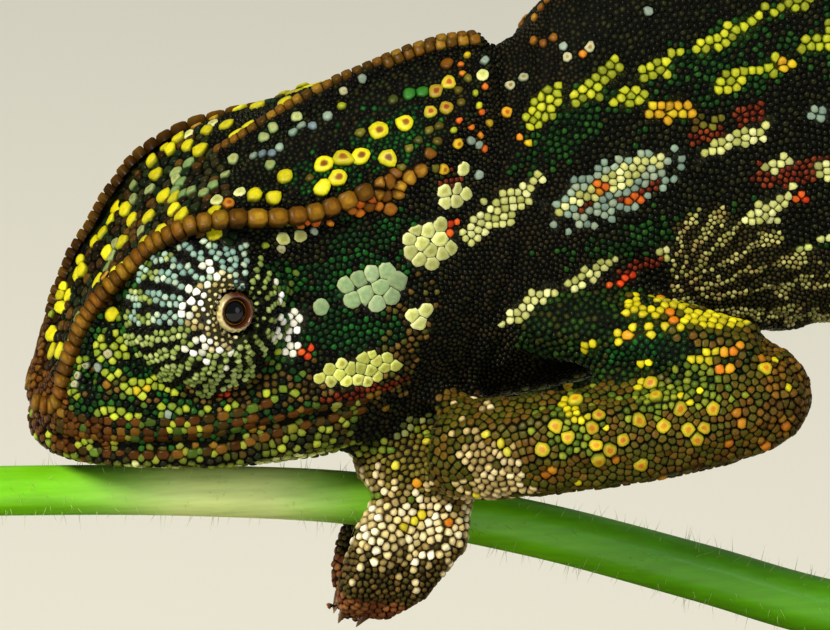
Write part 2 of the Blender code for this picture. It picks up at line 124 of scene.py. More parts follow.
def smoothLine(points, spacing):  # evenly spaced points on a smooth curve through the given ones
    p = np.asarray(points, float)
    last = len(p) - 1
    fine = []
    for i in range(last):
        a, b, c, d = (p[min(max(i + k, 0), last)] for k in (-1, 0, 1, 2))
        t = np.linspace(0, 1, 24, endpoint=False)[:, None]
        bend = (2 * a - 5 * b + 4 * c - d) * t**2 + (3 * b - a - 3 * c + d) * t**3
        fine.append(0.5 * (2 * b + (c - a) * t + bend))
    fine = np.concatenate(fine + [p[-1:]])
    run = np.concatenate([[0], np.cumsum(np.linalg.norm(np.diff(fine, axis=0), axis=1))])
    at = np.linspace(0, run[-1], max(2, int(round(run[-1] / spacing)) + 1))
    return np.stack([np.interp(at, run, fine[:, k]) for k in range(p.shape[1])], 1)


def wobble(points, size, seed):  # smooth random waves of about this size, from -1 to 1
    rng = np.random.default_rng(seed)
    ways = unit(rng.normal(size=(5, 3))) * (rng.uniform(0.7, 1.4, 5) * 2 * math.pi / size)[:, None]
    return np.sin(points @ ways.T + rng.uniform(0, 2 * math.pi, 5)).sum(1) * 0.4


def linear(hexColour):
    s = np.array([int(hexColour[i:i + 2], 16) / 255 for i in (1, 3, 5)])
    return np.where(s <= 0.04045, s / 12.92, ((s + 0.055) / 1.055) ** 2.4)


def rgba(hexColour):
    return (*linear(hexColour), 1.0)


# Materials

def addNode(tree, kind, inputs=None, **settings):
    node = tree.nodes.new(kind)
    for name, value in settings.items():
        setattr(node, name, value)
    for name, value in (inputs or {}).items():
        if isinstance(value, bpy.types.NodeSocket):
            tree.links.new(value, node.inputs[name])
        else:
            node.inputs[name].default_value = value
    return node


def newMaterial(name):
    material = bpy.data.materials.new(name)
    material.use_nodes = True
    material.node_tree.nodes.clear()
    return material, material.node_tree


def placeAndTint(tree):
    # where each point is on the piece, and the colour that it was given
    place = addNode(tree, "ShaderNodeTexCoord")
    tint = addNode(tree, "ShaderNodeAttribute", attribute_name="tint")
    return place.outputs["Object"], tint.outputs["Color"]


def mottled(tree, colour, pattern, span, shade):
    # the colour made darker and lighter, from the pattern's span of values to a span of shades
    level = addNode(tree, "ShaderNodeMapRange", {"Value": pattern, "From Min": span[0], "From Max": span[1],
                                                 "To Min": shade[0], "To Max": shade[1]})
    return addNode(tree, "ShaderNodeVectorMath", {0: colour, "Scale": level.outputs["Result"]},
                   operation="SCALE").outputs["Vector"]


def finishMaterial(tree, shaderInputs):
    shader = addNode(tree, "ShaderNodeBsdfPrincipled", shaderInputs)
    addNode(tree, "ShaderNodeOutputMaterial", {"Surface": shader.outputs["BSDF"]})


def scaleMaterial(name, roughness, coat, grain):
    # keratin scales, grown: a thin clear horny skin over the pigment, so each bead has its own glint
    material, tree = newMaterial(name)
    place, tint = placeAndTint(tree)
    mottle = addNode(tree, "ShaderNodeTexNoise", {"Vector": place, "Scale": 1 / (0.22 * mm), "Detail": 3.0,
                                                  "Roughness": 0.6})
    colour = mottled(tree, tint, mottle.outputs["Fac"], (0.3, 0.7), (0.78, 1.16))
    # the dark scales are duller, with a small sharp glint
    light = addNode(tree, "ShaderNodeRGBToBW", {"Color": tint})
    shine = addNode(tree, "ShaderNodeMapRange", {"Value": light.outputs["Val"], "From Max": 0.2,
                                                 "To Min": 0.05, "To Max": 0.24})
    base = addNode(tree, "ShaderNodeMapRange", {"Value": light.outputs["Val"], "From Max": 0.2,
                                                "To Min": roughness - 0.16, "To Max": roughness})
    gloss = addNode(tree, "ShaderNodeMath", {0: mottle.outputs["Fac"], 1: 0.24, 2: base.outputs["Result"]},
                    operation="MULTIPLY_ADD")
    bump = addNode(tree, "ShaderNodeBump", {"Height": mottle.outputs["Fac"], "Strength": grain,
                                            "Distance": 0.03 * mm})
    finishMaterial(tree, {"Base Color": colour, "Roughness": gloss.outputs["Value"],
                          "Normal": bump.outputs["Normal"], "Specular IOR Level": shine.outputs["Result"],
                          "Coat Weight": coat, "Coat Roughness": 0.25})
    return material


def skinMaterial():
    # live skin between the scales: soft, finely creased and nearly dull, its creases darkened with painted
    # shade
    material, tree = newMaterial("skinBetweenScales")
    place, tint = placeAndTint(tree)
    crease = addNode(tree, "ShaderNodeTexVoronoi", {"Vector": place, "Scale": 1 / (0.16 * mm)})
    # painted shade: darker towards the cells' edges, where the bump sinks the creases
    colour = mottled(tree, tint, crease.outputs["Distance"], (0, 1), (1.25, 0.7))
    bump = addNode(tree, "ShaderNodeBump", {"Height": crease.outputs["Distance"], "Strength": 0.6,
                                            "Distance": 0.05 * mm}, invert=True)
    finishMaterial(tree, {"Base Color": colour, "Roughness": 0.7, "Normal": bump.outputs["Normal"],
                          "Specular IOR Level": 0.08})
    return material


# Meshes from arrays

def newObject(name, data):
    obj = bpy.data.objects.new(name, data)
    bpy.context.scene.collection.objects.link(obj)
    return obj


def asRendered(obj):
    # a plain mesh of the object with its modifiers' work in it
    return bpy.data.meshes.new_from_object(obj.evaluated_get(bpy.context.evaluated_depsgraph_get()))


def trianglesOf(mesh):
    # a mesh's points, in mm, and its triangles
    mesh.calc_loop_triangles()
    points = np.empty(len(mesh.vertices) * 3)
    mesh.vertices.foreach_get("co", points)
    tris = np.empty(len(mesh.loop_triangles) * 3, int)
    mesh.loop_triangles.foreach_get("vertices", tris)
    return points.reshape(-1, 3) / mm, tris.reshape(-1, 3)


def boxOf(node):
    return [np.array(corner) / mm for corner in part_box(node)]


def meshObject(name, points, faceSizes, corners, tint=None, uv=None, smooth=True):
    mesh = bpy.data.meshes.new(name)
    mesh.vertices.add(len(points))
    mesh.vertices.foreach_set("co", (np.asarray(points) * mm).astype(np.float32).ravel())
    mesh.loops.add(len(corners))
    mesh.loops.foreach_set("vertex_index", np.asarray(corners, np.int32))
    mesh.polygons.add(len(faceSizes))
    starts = np.concatenate([[0], np.cumsum(faceSizes)[:-1]]).astype(np.int32)
    mesh.polygons.foreach_set("loop_start", starts)
    mesh.update(calc_edges=True)
    if tint is not None:
        layer = mesh.color_attributes.new("tint", "FLOAT_COLOR", "POINT")
        opaque = np.column_stack([tint, np.ones(len(tint))])
        layer.data.foreach_set("color", opaque.astype(np.float32).ravel())
    if uv is not None:
        layer = mesh.uv_layers.new(name="OFBake")
        layer.data.foreach_set("uv", np.asarray(uv, np.float32).ravel())
    if smooth:
        mesh.shade_smooth()
    return newObject(name, mesh)


def quadsBetween(start, sides):
    # the corners of the quads between a ring of points and the next one
    k, after = np.arange(sides), (np.arange(sides) + 1) % sides
    return (start + np.stack([k, after, sides + after, sides + k], 1)).ravel()


def ringsObject(name, rings, tint=None, closeStart=True, closeEnd=True):
    # a skin over rings of points, with a point in the middle of each end
    rings = np.asarray(rings, float)
    count, sides = rings.shape[:2]
    points = rings.reshape(-1, 3)
    k = np.arange(sides)
    sizes, corners = [], []
    for i in range(count - 1):
        corners.append(quadsBetween(i * sides, sides))
        sizes += [4] * sides
    extra = []
    for i, wanted, turn in ((0, closeStart, -1), (count - 1, closeEnd, 1)):
        if not wanted:
            continue
        middle = len(points) + len(extra)
        extra.append(rings[i].mean(0))
        fan = np.stack([i * sides + k, i * sides + (k + 1) % sides, np.full(sides, middle)], 1)
        corners.append(fan[:, ::turn].ravel())
        sizes += [3] * sides
    if extra:
        points = np.concatenate([points, extra])
    if tint is not None and len(tint) < len(points):
        tint = np.concatenate([tint, [tint[0], tint[-1]][-len(extra):]])
    return meshObject(name, points, sizes, np.concatenate(corners), tint)


def turnOut(obj):
    # normals outward, after the doubles are merged
    bm = bmesh.new()
    bm.from_mesh(obj.data)
    bmesh.ops.remove_doubles(bm, verts=bm.verts, dist=1e-7)
    bmesh.ops.recalc_face_normals(bm, faces=bm.faces)
    bm.to_mesh(obj.data)
    bm.free()
    return obj


def across(way):
    # two directions square to this one
    way = unit(way)
    side = unit(np.cross(way, [0, 0, 1] if abs(way[2]) < 0.9 else [1, 0, 0]))
    return side, np.cross(way, side)


# The eyes' places, which the skin and the scales make room for

turret = {"centre": (7.75, 3.3, 6.5), "radius": 3.85, "eyeDepth": 2.85, "eyeRadius": 0.84}
gazes = {"left": (0.22, 0.93, 0.27), "right": (-0.35, -0.92, 0.10)}


def eyeFrames():
    frames = {}
    for side, gaze in gazes.items():
        b, w, h = turret["centre"]
        centre = np.array((b, w if side == "left" else -w, h))
        places = [centre, centre + unit(gaze) * turret["eyeDepth"], centre - (1, 0, 0)]
        middle, eye, snoutward = toWorld(places)
        way = unit(eye - middle)
        forward = snoutward - middle
        forward = unit(forward - way * dot(forward, way))
        up = np.cross(way, forward)
        frames[side] = {"middle": middle, "eye": eye, "way": way, "forward": forward,
                        "up": up if up[2] > 0 else -up}
    return frames


eyes = eyeFrames()

# Guide lines of the head, the back and the belly, as (back, left, up)

browLine = ((0.35, 0.8, 1.35), (1.2, 2.0, 3.5), (2.6, 3.0, 7.0), (3.7, 3.6, 8.8), (4.9, 4.15, 10.2),
            (6.6, 4.7, 11.2), (8.2, 5.0, 11.45), (11.5, 5.25, 11.25), (13.4, 5.15, 11.4), (14.6, 5.05, 12.1),
            (15.6, 4.9, 12.7))
casqueLine = ((15.6, 4.9, 12.7), (18.6, 4.3, 14.2), (21.2, 2.4, 16.9))  # where the brow's line goes on
crestLine = ((9.0, 0.35, 12.6), (9.7, 0.3, 13.2), (10.6, 0.2, 14.0), (12.2, 0.1, 15.0), (13.5, 0, 15.9),
             (16.5, 0, 17.0), (18.8, 0, 17.9), (21.0, 0, 18.1))
lipLine = ((0.25, 1.15, 0.1), (1.0, 2.7, 0.15), (2.6, 4.2, 0.2), (5.2, 5.0, 0.3), (8.2, 5.5, 0.5),
           (11.2, 5.7, 1.45), (13.6, 5.5, 1.75), (15.6, 5.0, 1.9))
backLine = ((23.0, 0, 18.6), (29.0, 0, 23.0), (36.0, 0, 26.0), (44.0, 0, 27.6), (52.5, 0, 28.0),
            (61.0, 0, 26.8), (69.5, 0, 23.2), (76.0, 0, 19.0), (82.0, 0, 16.2))
bellyLine = ((6.0, 0, -1.8), (13.0, 0, -1.6), (19.6, 0, -0.6), (25.2, 0, 0.5), (34.0, 0, 2.3),
             (44.0, 0, 3.4), (53.0, 0, 4.3), (62.0, 0, 5.2), (70.0, 0, 6.6))
mouth = {"corner": 14.6, "gap": 0.05, "depth": 0.22}
nostril = np.array((2.3, 3.55, 3.35))
shoulder = (31.5, 5.2)  # back and up; the folds fan out from here


def mouthUp(back):
    line = np.array(lipLine)
    return np.interp(back, line[:, 0], line[:, 2])


def awayFrom(b, line):
    # how far each place is from a guide line
    tree = lookup(smoothLine(line, 0.3))
    return np.array([tree.find(place)[2] for place in b.tolist()])


# The skin, one mesh over every piece of flesh

skin = {
    "bridge": 0.2,  # the solids grow by this much, so that they merge over their gaps
    "voxel": 0.36,
    "smoothing": 10,
    "coat": 0.14,  # the scales' depth, which the skin leaves free
    "wrist": 2.6,  # reach of the extra smoothing at the wrists, in mm
    "wristRounds": 40,
}
notFlesh = {"eye_left", "eye_right", "perch_stem", "stand_base", "stand_rod_front", "stand_rod_rear"}
fleshNodes = sorted(set(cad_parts) - notFlesh)


def fleshSurface():
    # one lookup over the solids, with the name of the node that each face belongs to
    points, faces, owners = [], [], []
    for name in fleshNodes:
        own, tris = trianglesOf(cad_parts[name].data)
        faces.append(tris + sum(len(p) for p in points))
        points.append(own)
        owners += [name] * len(tris)
    tree = BVHTree.FromPolygons(np.concatenate(points).tolist(), np.concatenate(faces).tolist())
    return tree, np.array(owners)


def remeshed():
    bm = bmesh.new()
    for name in fleshNodes:
        bm.from_mesh(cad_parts[name].data)
    bmesh.ops.remove_doubles(bm, verts=bm.verts, dist=1e-6)
    bm.normal_update()
    for vert in bm.verts:
        vert.co += vert.normal * skin["bridge"] * mm
    mesh = bpy.data.meshes.new("flesh")
    bm.to_mesh(mesh)
    bm.free()
    flesh = newObject("flesh", mesh)
    remesh = flesh.modifiers.new("skin", "REMESH")
    remesh.mode, remesh.voxel_size = "VOXEL", skin["voxel"] * mm
    whole = asRendered(flesh)
    edges = np.empty(len(whole.edges) * 2, int)
    whole.edges.foreach_get("vertices", edges)
    bpy.data.objects.remove(flesh)
    return (*trianglesOf(whole), edges.reshape(-1, 2))


def summed(at, values, count):
    # the values that fall on each of count places, added up
    return np.stack([np.bincount(at, values[:, k], count) for k in range(3)], 1)


def normalsOf(points, tris):
    a, b, c = (points[tris[:, k]] for k in range(3))
    face = np.cross(b - a, c - a)
    return unit(sum(summed(tris[:, k], face, len(points)) for k in range(3)))


def relaxed(points, edges, rounds, keep=0.53):
    # smooths without shrinking: each round pulls a point to its neighbours' mean, then pushes it back a bit
    both = np.concatenate([edges, edges[:, ::-1]])
    count = np.bincount(both[:, 0], minlength=len(points))[:, None]
    points = points.copy()
    for step in range(rounds * 2):
        mean = summed(both[:, 0], points[both[:, 1]], len(points)) / np.maximum(count, 1)
        points += (mean - points) * (0.5 if step % 2 == 0 else -keep)
    return points


def wrists():
    # where each foot meets its leg
    places = []
    for name in fleshNodes:
        if name.endswith("palm"):
            leg = name.rsplit("_", 1)[0]
            above = next(n for n in fleshNodes if n in (leg + "_forearm", leg + "_shin"))
            low, high = boxOf(name)
            ends, _ = trianglesOf(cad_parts[above].data)
            nearest = ends[np.argsort(np.linalg.norm(ends - (low + high) / 2, axis=1))[:6]]
            places.append((nearest.mean(0) * 1.4 + (low + high) / 2 * 0.6) / 2)
    return np.array(places)


def blended(points, edges, centres):
    # extra smoothing round the given places, so that a foot and its leg flow into each other
    away = np.linalg.norm(points[:, None] - centres[None], axis=2).min(1)
    weight = 0.5 * np.exp(-((away / skin["wrist"]) ** 4))[:, None]
    both = np.concatenate([edges, edges[:, ::-1]])
    both = both[weight[both[:, 0], 0] > 0.01]
    near = np.unique(both[:, 0])
    count = np.maximum(np.bincount(both[:, 0], minlength=len(points)), 1)[:, None]
    points = points.copy()
    for _ in range(skin["wristRounds"]):
        mean = summed(both[:, 0], points[both[:, 1]], len(points)) / count
        points[near] += (mean[near] - points[near]) * weight[near]
    return points


def sculpted(points, b, owner):
    # how far each point of the skin sinks, in mm
    sink = np.zeros(len(points))
    onHead = np.isin(owner, ["head", "lower_jaw"])
    # the mouth's line
    off = np.abs(b[:, 2] - mouthUp(b[:, 0]))
    fade = np.clip((mouth["corner"] - b[:, 0]) / 1.2, 0, 1)
    sink += onHead * fade * mouth["depth"] * np.exp(-(off / 0.3) ** 2)
    # nostrils
    for side in (1, -1):
        off = np.linalg.norm(b - nostril * (1, side, 1), axis=1)
        sink += onHead * 0.8 * np.exp(-(off / 0.36) ** 2)
    # the brow ridges and the crest stand between shallow furrows
    for line in (browLine, crestLine):
        away = awayFrom(b[onHead] * (1, 0, 1) + np.abs(b[onHead]) * (0, 1, 0), line)
        sink[onHead] += 0.24 * np.exp(-((away - 0.95) / 0.3) ** 2)
    # the furrow round each turret, and the hollow where the eyeball sits
    for side, eye in eyes.items():
        out = points - eye["middle"]
        away = np.linalg.norm(out, axis=1)
        sink += onHead * 0.38 * np.exp(-((away - turret["radius"] - 0.35) / 0.35) ** 2)
        along = dot(out, eye["way"])
        aside = np.linalg.norm(out - along[:, None] * eye["way"], axis=1)
        hollow = np.clip(1.25 - aside / 0.6, 0, 1)
        sink += (along > 2.0) * 0.75 * hollow
    # skin folds: lengthwise under the throat, across the neck, and fanned behind the shoulder
    throat = np.clip((1.0 - b[:, 2]) / 1.5, 0, 1) * np.clip((26 - b[:, 0]) / 5, 0, 1)
    throat *= np.clip((b[:, 0] - 3) / 4, 0, 1)
    soft = np.isin(owner, ["lower_jaw", "head", "neck", "trunk"])
    sink += soft * throat * 0.10 * (1 + np.sin(b[:, 1] * 2 * math.pi / 1.15 + wobble(b, 5, 3)))
    nape = np.exp(-((b[:, 0] - 21.6 - 0.12 * (b[:, 2] - 8)) / 1.6) ** 2)
    sink += np.isin(owner, ["neck", "trunk", "head"]) * nape * 0.11 * (1 + np.sin(
        (b[:, 0] - 0.12 * b[:, 2]) * 2 * math.pi / 1.3 + wobble(b, 4, 4)))
    for side in (1, -1):
        turn = np.arctan2(b[:, 2] - shoulder[1], b[:, 0] - shoulder[0])
        reach = np.hypot(b[:, 0] - shoulder[0], b[:, 2] - shoulder[1])
        near = np.exp(-((reach - 3.0) / 2.6) ** 2) * (b[:, 1] * side > 0) * (owner == "trunk")
        sink += near * 0.16 * (1 + np.sin(turn * 17 + wobble(b, 3, 5) * 1.5))
    # ribs show faintly through the flank
    flank = np.clip((b[:, 0] - 34) / 6, 0, 1) * np.clip((68 - b[:, 0]) / 6, 0, 1) * (owner == "trunk")
    sink += flank * 0.12 * (1 + np.sin((b[:, 0] + 0.35 * b[:, 2]) * 2 * math.pi / 3.4 + wobble(b, 9, 6)))
    # wrinkles at the bends of the legs
    legs = np.array([name.endswith(("arm", "shin", "thigh", "palm")) for name in fleshNodes])
    onLeg = np.isin(owner, np.array(fleshNodes)[legs])
    sink += onLeg * 0.05 * (1 + wobble(b, 1.6, 7))
    return sink


solids, faceOwner = fleshSurface()
skinPoints, skinTris, skinEdges = remeshed()
skinPoints = relaxed(skinPoints, skinEdges, skin["smoothing"])
skinPoints = blended(skinPoints, skinEdges, wrists())
skinNormals = normalsOf(skinPoints, skinTris)
skinPoints -= skinNormals * (skin["bridge"] + skin["coat"])
skinOwner = faceOwner[[solids.find_nearest(p)[2] for p in skinPoints.tolist()]]
skinPoints -= skinNormals * sculpted(skinPoints, toBody(skinPoints), skinOwner)[:, None]
skinPoints = relaxed(skinPoints, skinEdges, 1)
skinNormals = normalsOf(skinPoints, skinTris)
print("skin:", len(skinTris), "triangles")


# The kinds of scale: how wide and high they stand, how much of their cell they fill, and their colours; the
# dark colour after the rims is painted crevice shade at each scale's base

def kind(pitch, rise, fill, tops, rims, creviceShade, heart=None):
    return {"pitch": pitch, "rise": rise, "fill": fill, "tops": tops.split(), "rims": rims.split(),
            "creviceShade": creviceShade, "heart": heart.split() if heart else None}


kinds = {
    "none": kind(0.45, 0.0, 0.0, "#0c0a06", "#0c0a06", "#0c0906"),
    # head
    "ridge": kind(0.84, 0.24, 1.0, "#5e3c06 #6a4806 #4c3003 #765408 #643a04",
        "#442a03 #503603 #382202 #5c4006 #482a03", "#1c0e02", "#7a520a #866008 #644408 #90700e"),
    "crestBead": kind(0.52, 0.18, 0.98, "#6c480a #7c540c #583c08 #8c6812 #4c3406",
        "#4c3206 #5a3c08 #3c2804 #64480c #342404", "#120a02"),
    "ridgeOrange": kind(0.7, 0.2, 0.97, "#b4520a #a8600e #c46c10", "#843c06 #7c480a #944c08", "#3a1804"),
    "ochrePlate": kind(0.84, 0.15, 0.98, "#84580c #74480a #986c10", "#5c3c08 #4c2e06 #6c4c0a", "#1c1003",
        "#a87c14 #7c4c0a #b8901c"),
    "snoutBrown": kind(0.46, 0.13, 0.97, "#54300a #482806 #60380a #3c2206 #6c440c",
        "#3a2006 #321a04 #44260a #28160a #4c2e08", "#120903"),
    "snoutDark": kind(0.7, 0.16, 0.9, "#1e2a10 #2c2a10 #142410 #38280e #10180a",
        "#10160a #1a180a #0c140a #241808 #0a0e06", "#060804"),
    "olivePlate": kind(0.68, 0.14, 0.96, "#544a0e #646014 #4a3c0a #3c4410 #6c6c1c",
        "#383608 #44460c #2e2606 #283008 #4c5010", "#121204"),
    "greenPlate": kind(0.8, 0.12, 0.96, "#1a5a12 #246a18 #144a10", "#12440e #185010 #0e380a", "#041004"),
    "foreheadYellow": kind(1.02, 0.2, 0.96, "#d8d008 #ccc406 #e0da18", "#a8a810 #98960a #b8b814",
        "#2c3406"),
    "foreheadOrange": kind(0.66, 0.17, 0.96, "#c89810 #b8780c #ccac16", "#946410 #84480a #9c7c10",
        "#301c04", "#9c5008 #8c4006"),
    "foreheadBrown": kind(0.68, 0.16, 0.94, "#2c1c06 #48300a #1c1606 #161404 #543a0c",
        "#1a1004 #2c1c05 #100d03 #0d0c02 #34240a", "#060402"),
    "foreheadPale": kind(0.72, 0.16, 0.96, "#849c60 #748f58 #98a86c", "#5e7640 #4c7038 #70824c", "#1c2814",
        "#8c8848 #748f58"),
    "labial": kind(0.5, 0.14, 0.99, "#4c2c08 #583408 #402406 #64440c #3a2c08",
        "#301a04 #3c2004 #281604 #442c06 #241c04", "#0c0602"),
    "labialYellow": kind(0.5, 0.14, 0.99, "#7c7c18 #4c6416 #7c5c12 #3c5414 #8c9038",
        "#545c0c #30440c #543c0a #24380a #606424", "#0e1006"),
    "cheekGreen": kind(0.42, 0.11, 0.9, "#0e2c0c #164212 #0a160a #205416 #080f06 #4c641c",
        "#081a08 #0e260a #060a05 #143408 #050804 #34440e", "#030803"),
    "cheekLime": kind(0.5, 0.14, 0.97, "#a0b026 #8a9c20 #b0bc32 #6c8420", "#6c7c16 #5c6c14 #7c8a1c #485c12",
        "#141e08"),
    "cheekOlive": kind(0.4, 0.11, 0.86, "#5c4418 #48380f #6c5220 #2c240c #4c4c14",
        "#3a2a0e #2c220a #44341a #1a1608 #30300c", "#0a0804"),
    "templeBlack": kind(0.34, 0.1, 0.9, "#14140a #0c0d07 #20200c #080806 #18200c",
        "#0c0c07 #080805 #10100a #060604 #0c100a", "#030302"),
    "deepGreen": kind(0.36, 0.09, 0.94, "#0a3e10 #0c3010 #105016 #08260e #0e2c0c",
        "#082c0a #08200a #0c3a0e #061808 #0a200a", "#020c04"),
    "bluePlate": kind(0.94, 0.1, 1.0, "#86a074 #90aa80 #7c986c", "#a4b888 #b0c092 #98ac7c", "#5c7448"),
    "creamPlate": kind(0.78, 0.1, 1.0, "#b8c070 #a8b064 #c4cc80 #b4bc74", "#dce0a0 #d4da98 #e4e8ac #dcdc9c",
        "#787c40", "#a8ac5c #98984c #b8bc6c"),
    "lemonPlate": kind(0.6, 0.1, 1.0, "#b8c458 #a8b44c #c8d068 #b4bc50", "#d8e088 #ccd47c #e4e898 #d8dc84",
        "#6c742c", "#a09c3c #b0ac48"),
    "rosette": kind(1.3, 0.16, 0.98, "#d4cc08 #dcd40e #ccc206", "#b8b810 #c4c418 #a4a40c", "#2c3806",
        "#7a3c04 #6c3002 #8c4c08"),
    "brownRosette": kind(0.96, 0.15, 0.97, "#b8a01c #a88a14 #c4b424", "#8c941c #7c7c14 #9ca424", "#241804",
        "#8a3c06 #7c3004 #9a4c08"),
    "redOrange": kind(0.42, 0.12, 0.97, "#c83c08 #b02c08 #d45810", "#842404 #782004 #983808", "#3c0e04"),
    "redBrown": kind(0.34, 0.1, 0.94, "#5c1c08 #4c1806 #6c2a0c", "#3c1204 #300e04 #481c06", "#160804"),
    "throat": kind(0.5, 0.12, 0.9, "#22220e #3a3c10 #62701c #1a2410 #84902a #4a3a12",
        "#14140a #24260a #40480f #10160a #586218 #2e240a", "#070804"),
    # eyelid turrets
    "turretBlack": kind(0.29, 0.07, 0.92, "#0a0b07 #0f100a #070805 #16150e",
        "#090a07 #0c0d09 #070805 #10100c", "#020202"),
    "turretBlue": kind(0.39, 0.12, 1.0, "#8cb0a0 #a0c0ac #7ca498 #b0c8ac",
        "#6c9084 #84a490 #5c8478 #94a890", "#4c6458"),
    "turretLime": kind(0.38, 0.12, 1.0, "#94a858 #84984c #a8b870 #74883c",
        "#6c8038 #5c7030 #80904c #4c6024", "#3c4c20"),
    # painted highlight: near-white scales laid by the lid and along the turret's rear edge
    "turretWhite": kind(0.42, 0.14, 1.0, "#f4f4ea #e4e6d8 #ffffff", "#d4d6c4 #c4c8b0 #e4e4d8", "#94927c"),
    "turretCream": kind(0.37, 0.11, 1.0, "#c8bc88 #d4cc9c #a8985c", "#988c58 #a89c68 #746838", "#4c4424"),
    # neck and trunk
    "neckBlack": kind(0.29, 0.085, 0.9, "#14140a #1c1b0c #0c0c06 #241f0e #101408",
        "#0c0c07 #100f08 #090906 #15120a #0c0e07", "#030302"),
    "trunkBlack": kind(0.35, 0.1, 0.9, "#0f1107 #0b0d05 #15180a #1e210c #0d1006",
        "#0a0c06 #070905 #0e100a #121409 #090b05", "#030402"),
    "flankGreen": kind(0.37, 0.11, 0.94, "#0c2c0a #123a0e #081c08 #1c4410",
        "#081e08 #0c280a #061406 #123008", "#030c04"),
    "creamScale": kind(0.43, 0.12, 1.0, "#b8bc70 #c8cc84 #a8ac5c #d4d898",
        "#949a50 #a4a85c #848a44 #b4b874", "#606834"),
    "limeScale": kind(0.48, 0.15, 1.0, "#a4ac14 #94a010 #b4b81c #848c10", "#747c0c #68700a #84880f #586408",
        "#3c480c"),
    "yellowScale": kind(0.48, 0.15, 1.0, "#ccb00e #d4bc14 #c4980c #ccac10",
        "#948410 #988c10 #94680a #94780c", "#5c4008"),
    "orangeScale": kind(0.46, 0.14, 0.95, "#cc6c0a #d48412 #bc5608", "#903e06 #98520a #803006", "#3a1404"),
    "ocellusEdge": kind(0.43, 0.11, 1.0, "#7c9484 #8ca08c #70887c #94a48c",
        "#607868 #6c8068 #566c60 #74846c", "#3c4c3e"),
    "paleBlue": kind(0.62, 0.14, 0.97, "#6c8474 #60747c #7c9080", "#50645a #48585e #5c7064", "#141c1a"),
    "paleBead": kind(0.54, 0.17, 0.97, "#98a484 #a8ac88 #889c8c #b0b48c", "#747e60 #808464 #647468 #888c68",
        "#1c2218", "#8a6a38 #a09060 #84948c"),
    "brownBead": kind(0.58, 0.17, 0.94, "#8c5a12 #a87418 #744810", "#5c3a0a #705010 #4c2c08", "#1c1004"),
    "olive": kind(0.42, 0.13, 0.95, "#545214 #68641a #3e3a0e #5a4412", "#34320a #42400e #24220a #38280a",
        "#0a0a04"),
    "foldDark": kind(0.27, 0.08, 0.95, "#2a2a10 #1c1c0a #3a3414 #241c0c", "#181808 #101006 #221e0c #140f07",
        "#060604"),
    "foldPale": kind(0.28, 0.1, 1.0, "#9c9c58 #b0ac68 #7c7c3c #8c7c44", "#6c6c34 #7c7844 #545428 #5c502c",
        "#181808"),
    "sideLine": kind(0.5, 0.12, 0.95, "#c8d27c #d6dc94 #b4c068", "#98a256 #a8b066 #88944a", "#343c1a"),
    "bellyPale": kind(0.46, 0.11, 0.92, "#8c9450 #a4ac64 #6c743c #404820",
        "#60683a #747c46 #4a5028 #282e14", "#14180a"),
    # legs, feet, tail
    "armDark": kind(0.38, 0.12, 0.92, "#182c0c #20400c #0e1a08 #10280c #2a300c",
        "#0c1a08 #122608 #080d05 #0a180a #181e08", "#040803"),
    "armYellow": kind(0.46, 0.14, 1.0, "#d0c40a #dcd014 #c0b408", "#a09a10 #aca814 #908a0c", "#6c6408"),
    "armOrange": kind(0.56, 0.18, 0.98, "#d88c10 #cc740c #e09c18", "#b08c0c #9c640a #bca012", "#3c2004"),
    "foreLeg": kind(0.45, 0.17, 0.93, "#54500f #484a10 #625014 #5a4212 #3c3e0e #4c4c14",
        "#2e2c08 #26280a #362a0a #30200a #1e2008 #282a0a", "#080703", "#5c4410 #50460e #684412"),
    "foreLegGreen": kind(0.45, 0.16, 0.94, "#6e7c18 #5a6c16 #808c20 #485c14",
        "#465210 #384a0e #546014 #2c3e0c", "#101806"),
    "foreLegRosette": kind(0.84, 0.25, 0.98, "#c0a814 #c8b41a #b49c12", "#848a18 #94981c #747c14",
        "#242408", "#b8780c #c08410 #ac640a"),
    "foreLegOrange": kind(0.64, 0.22, 0.97, "#b0700c #a4600a #bc8010", "#7c520a #6c3c08 #8c6010",
        "#241204"),
    "elbow": kind(0.46, 0.16, 0.95, "#62420c #6e4c0e #4c360a #7a5610 #584610 #463c0c",
        "#3e2a08 #48320a #30200a #503a0a #382e0a #2c2608", "#100803"),
    "legUnder": kind(0.44, 0.13, 0.93, "#3c2c0c #4a3610 #2c220a #543a10", "#22180a #2a1e08 #181206 #32220a",
        "#070503"),
    "wristPale": kind(0.43, 0.18, 0.93, "#bca86c #d0bc84 #a49058 #dccc9c #8c7a44",
        "#78663e #88744a #645432 #988660 #54462a", "#30261a"),
    # pale cream hand scales brightened to near white, partly painted highlight
    "handWhite": kind(0.48, 0.2, 0.95, "#f4ecc8 #e8dcac #dccc94 #fcf8e0 #ccbc80",
        "#b8a870 #a8965c #8a784c #b8a884 #7c6a40", "#40341c"),
    "handYellow": kind(0.56, 0.19, 0.96, "#d0c428 #dcd43c #c4b41c", "#9c9020 #a8a02c #8c8018", "#241e08"),
    "palmOlive": kind(0.39, 0.14, 0.94, "#5e5216 #6c6020 #4c4412 #7a6e26 #564c14",
        "#3a320c #443c12 #2e280a #504818 #34300c", "#0a0804"),
    "toeDark": kind(0.36, 0.12, 0.93, "#4c3e16 #58461c #382e10 #624c1e #403a14",
        "#2c240c #34290e #20180a #3a2c10 #24200a", "#0c0905"),
    "toePad": kind(0.44, 0.12, 0.93, "#7c4522 #8f562a #6a381a #9c6434", "#52290f #603618 #442010 #6c4422",
        "#180c06"),
    "tailBand": kind(0.47, 0.12, 0.88, "#6c6a22 #7c7c2c #545418 #8c8a38", "#464412 #50501c #34340e #5c5a24",
        "#0e0e06"),
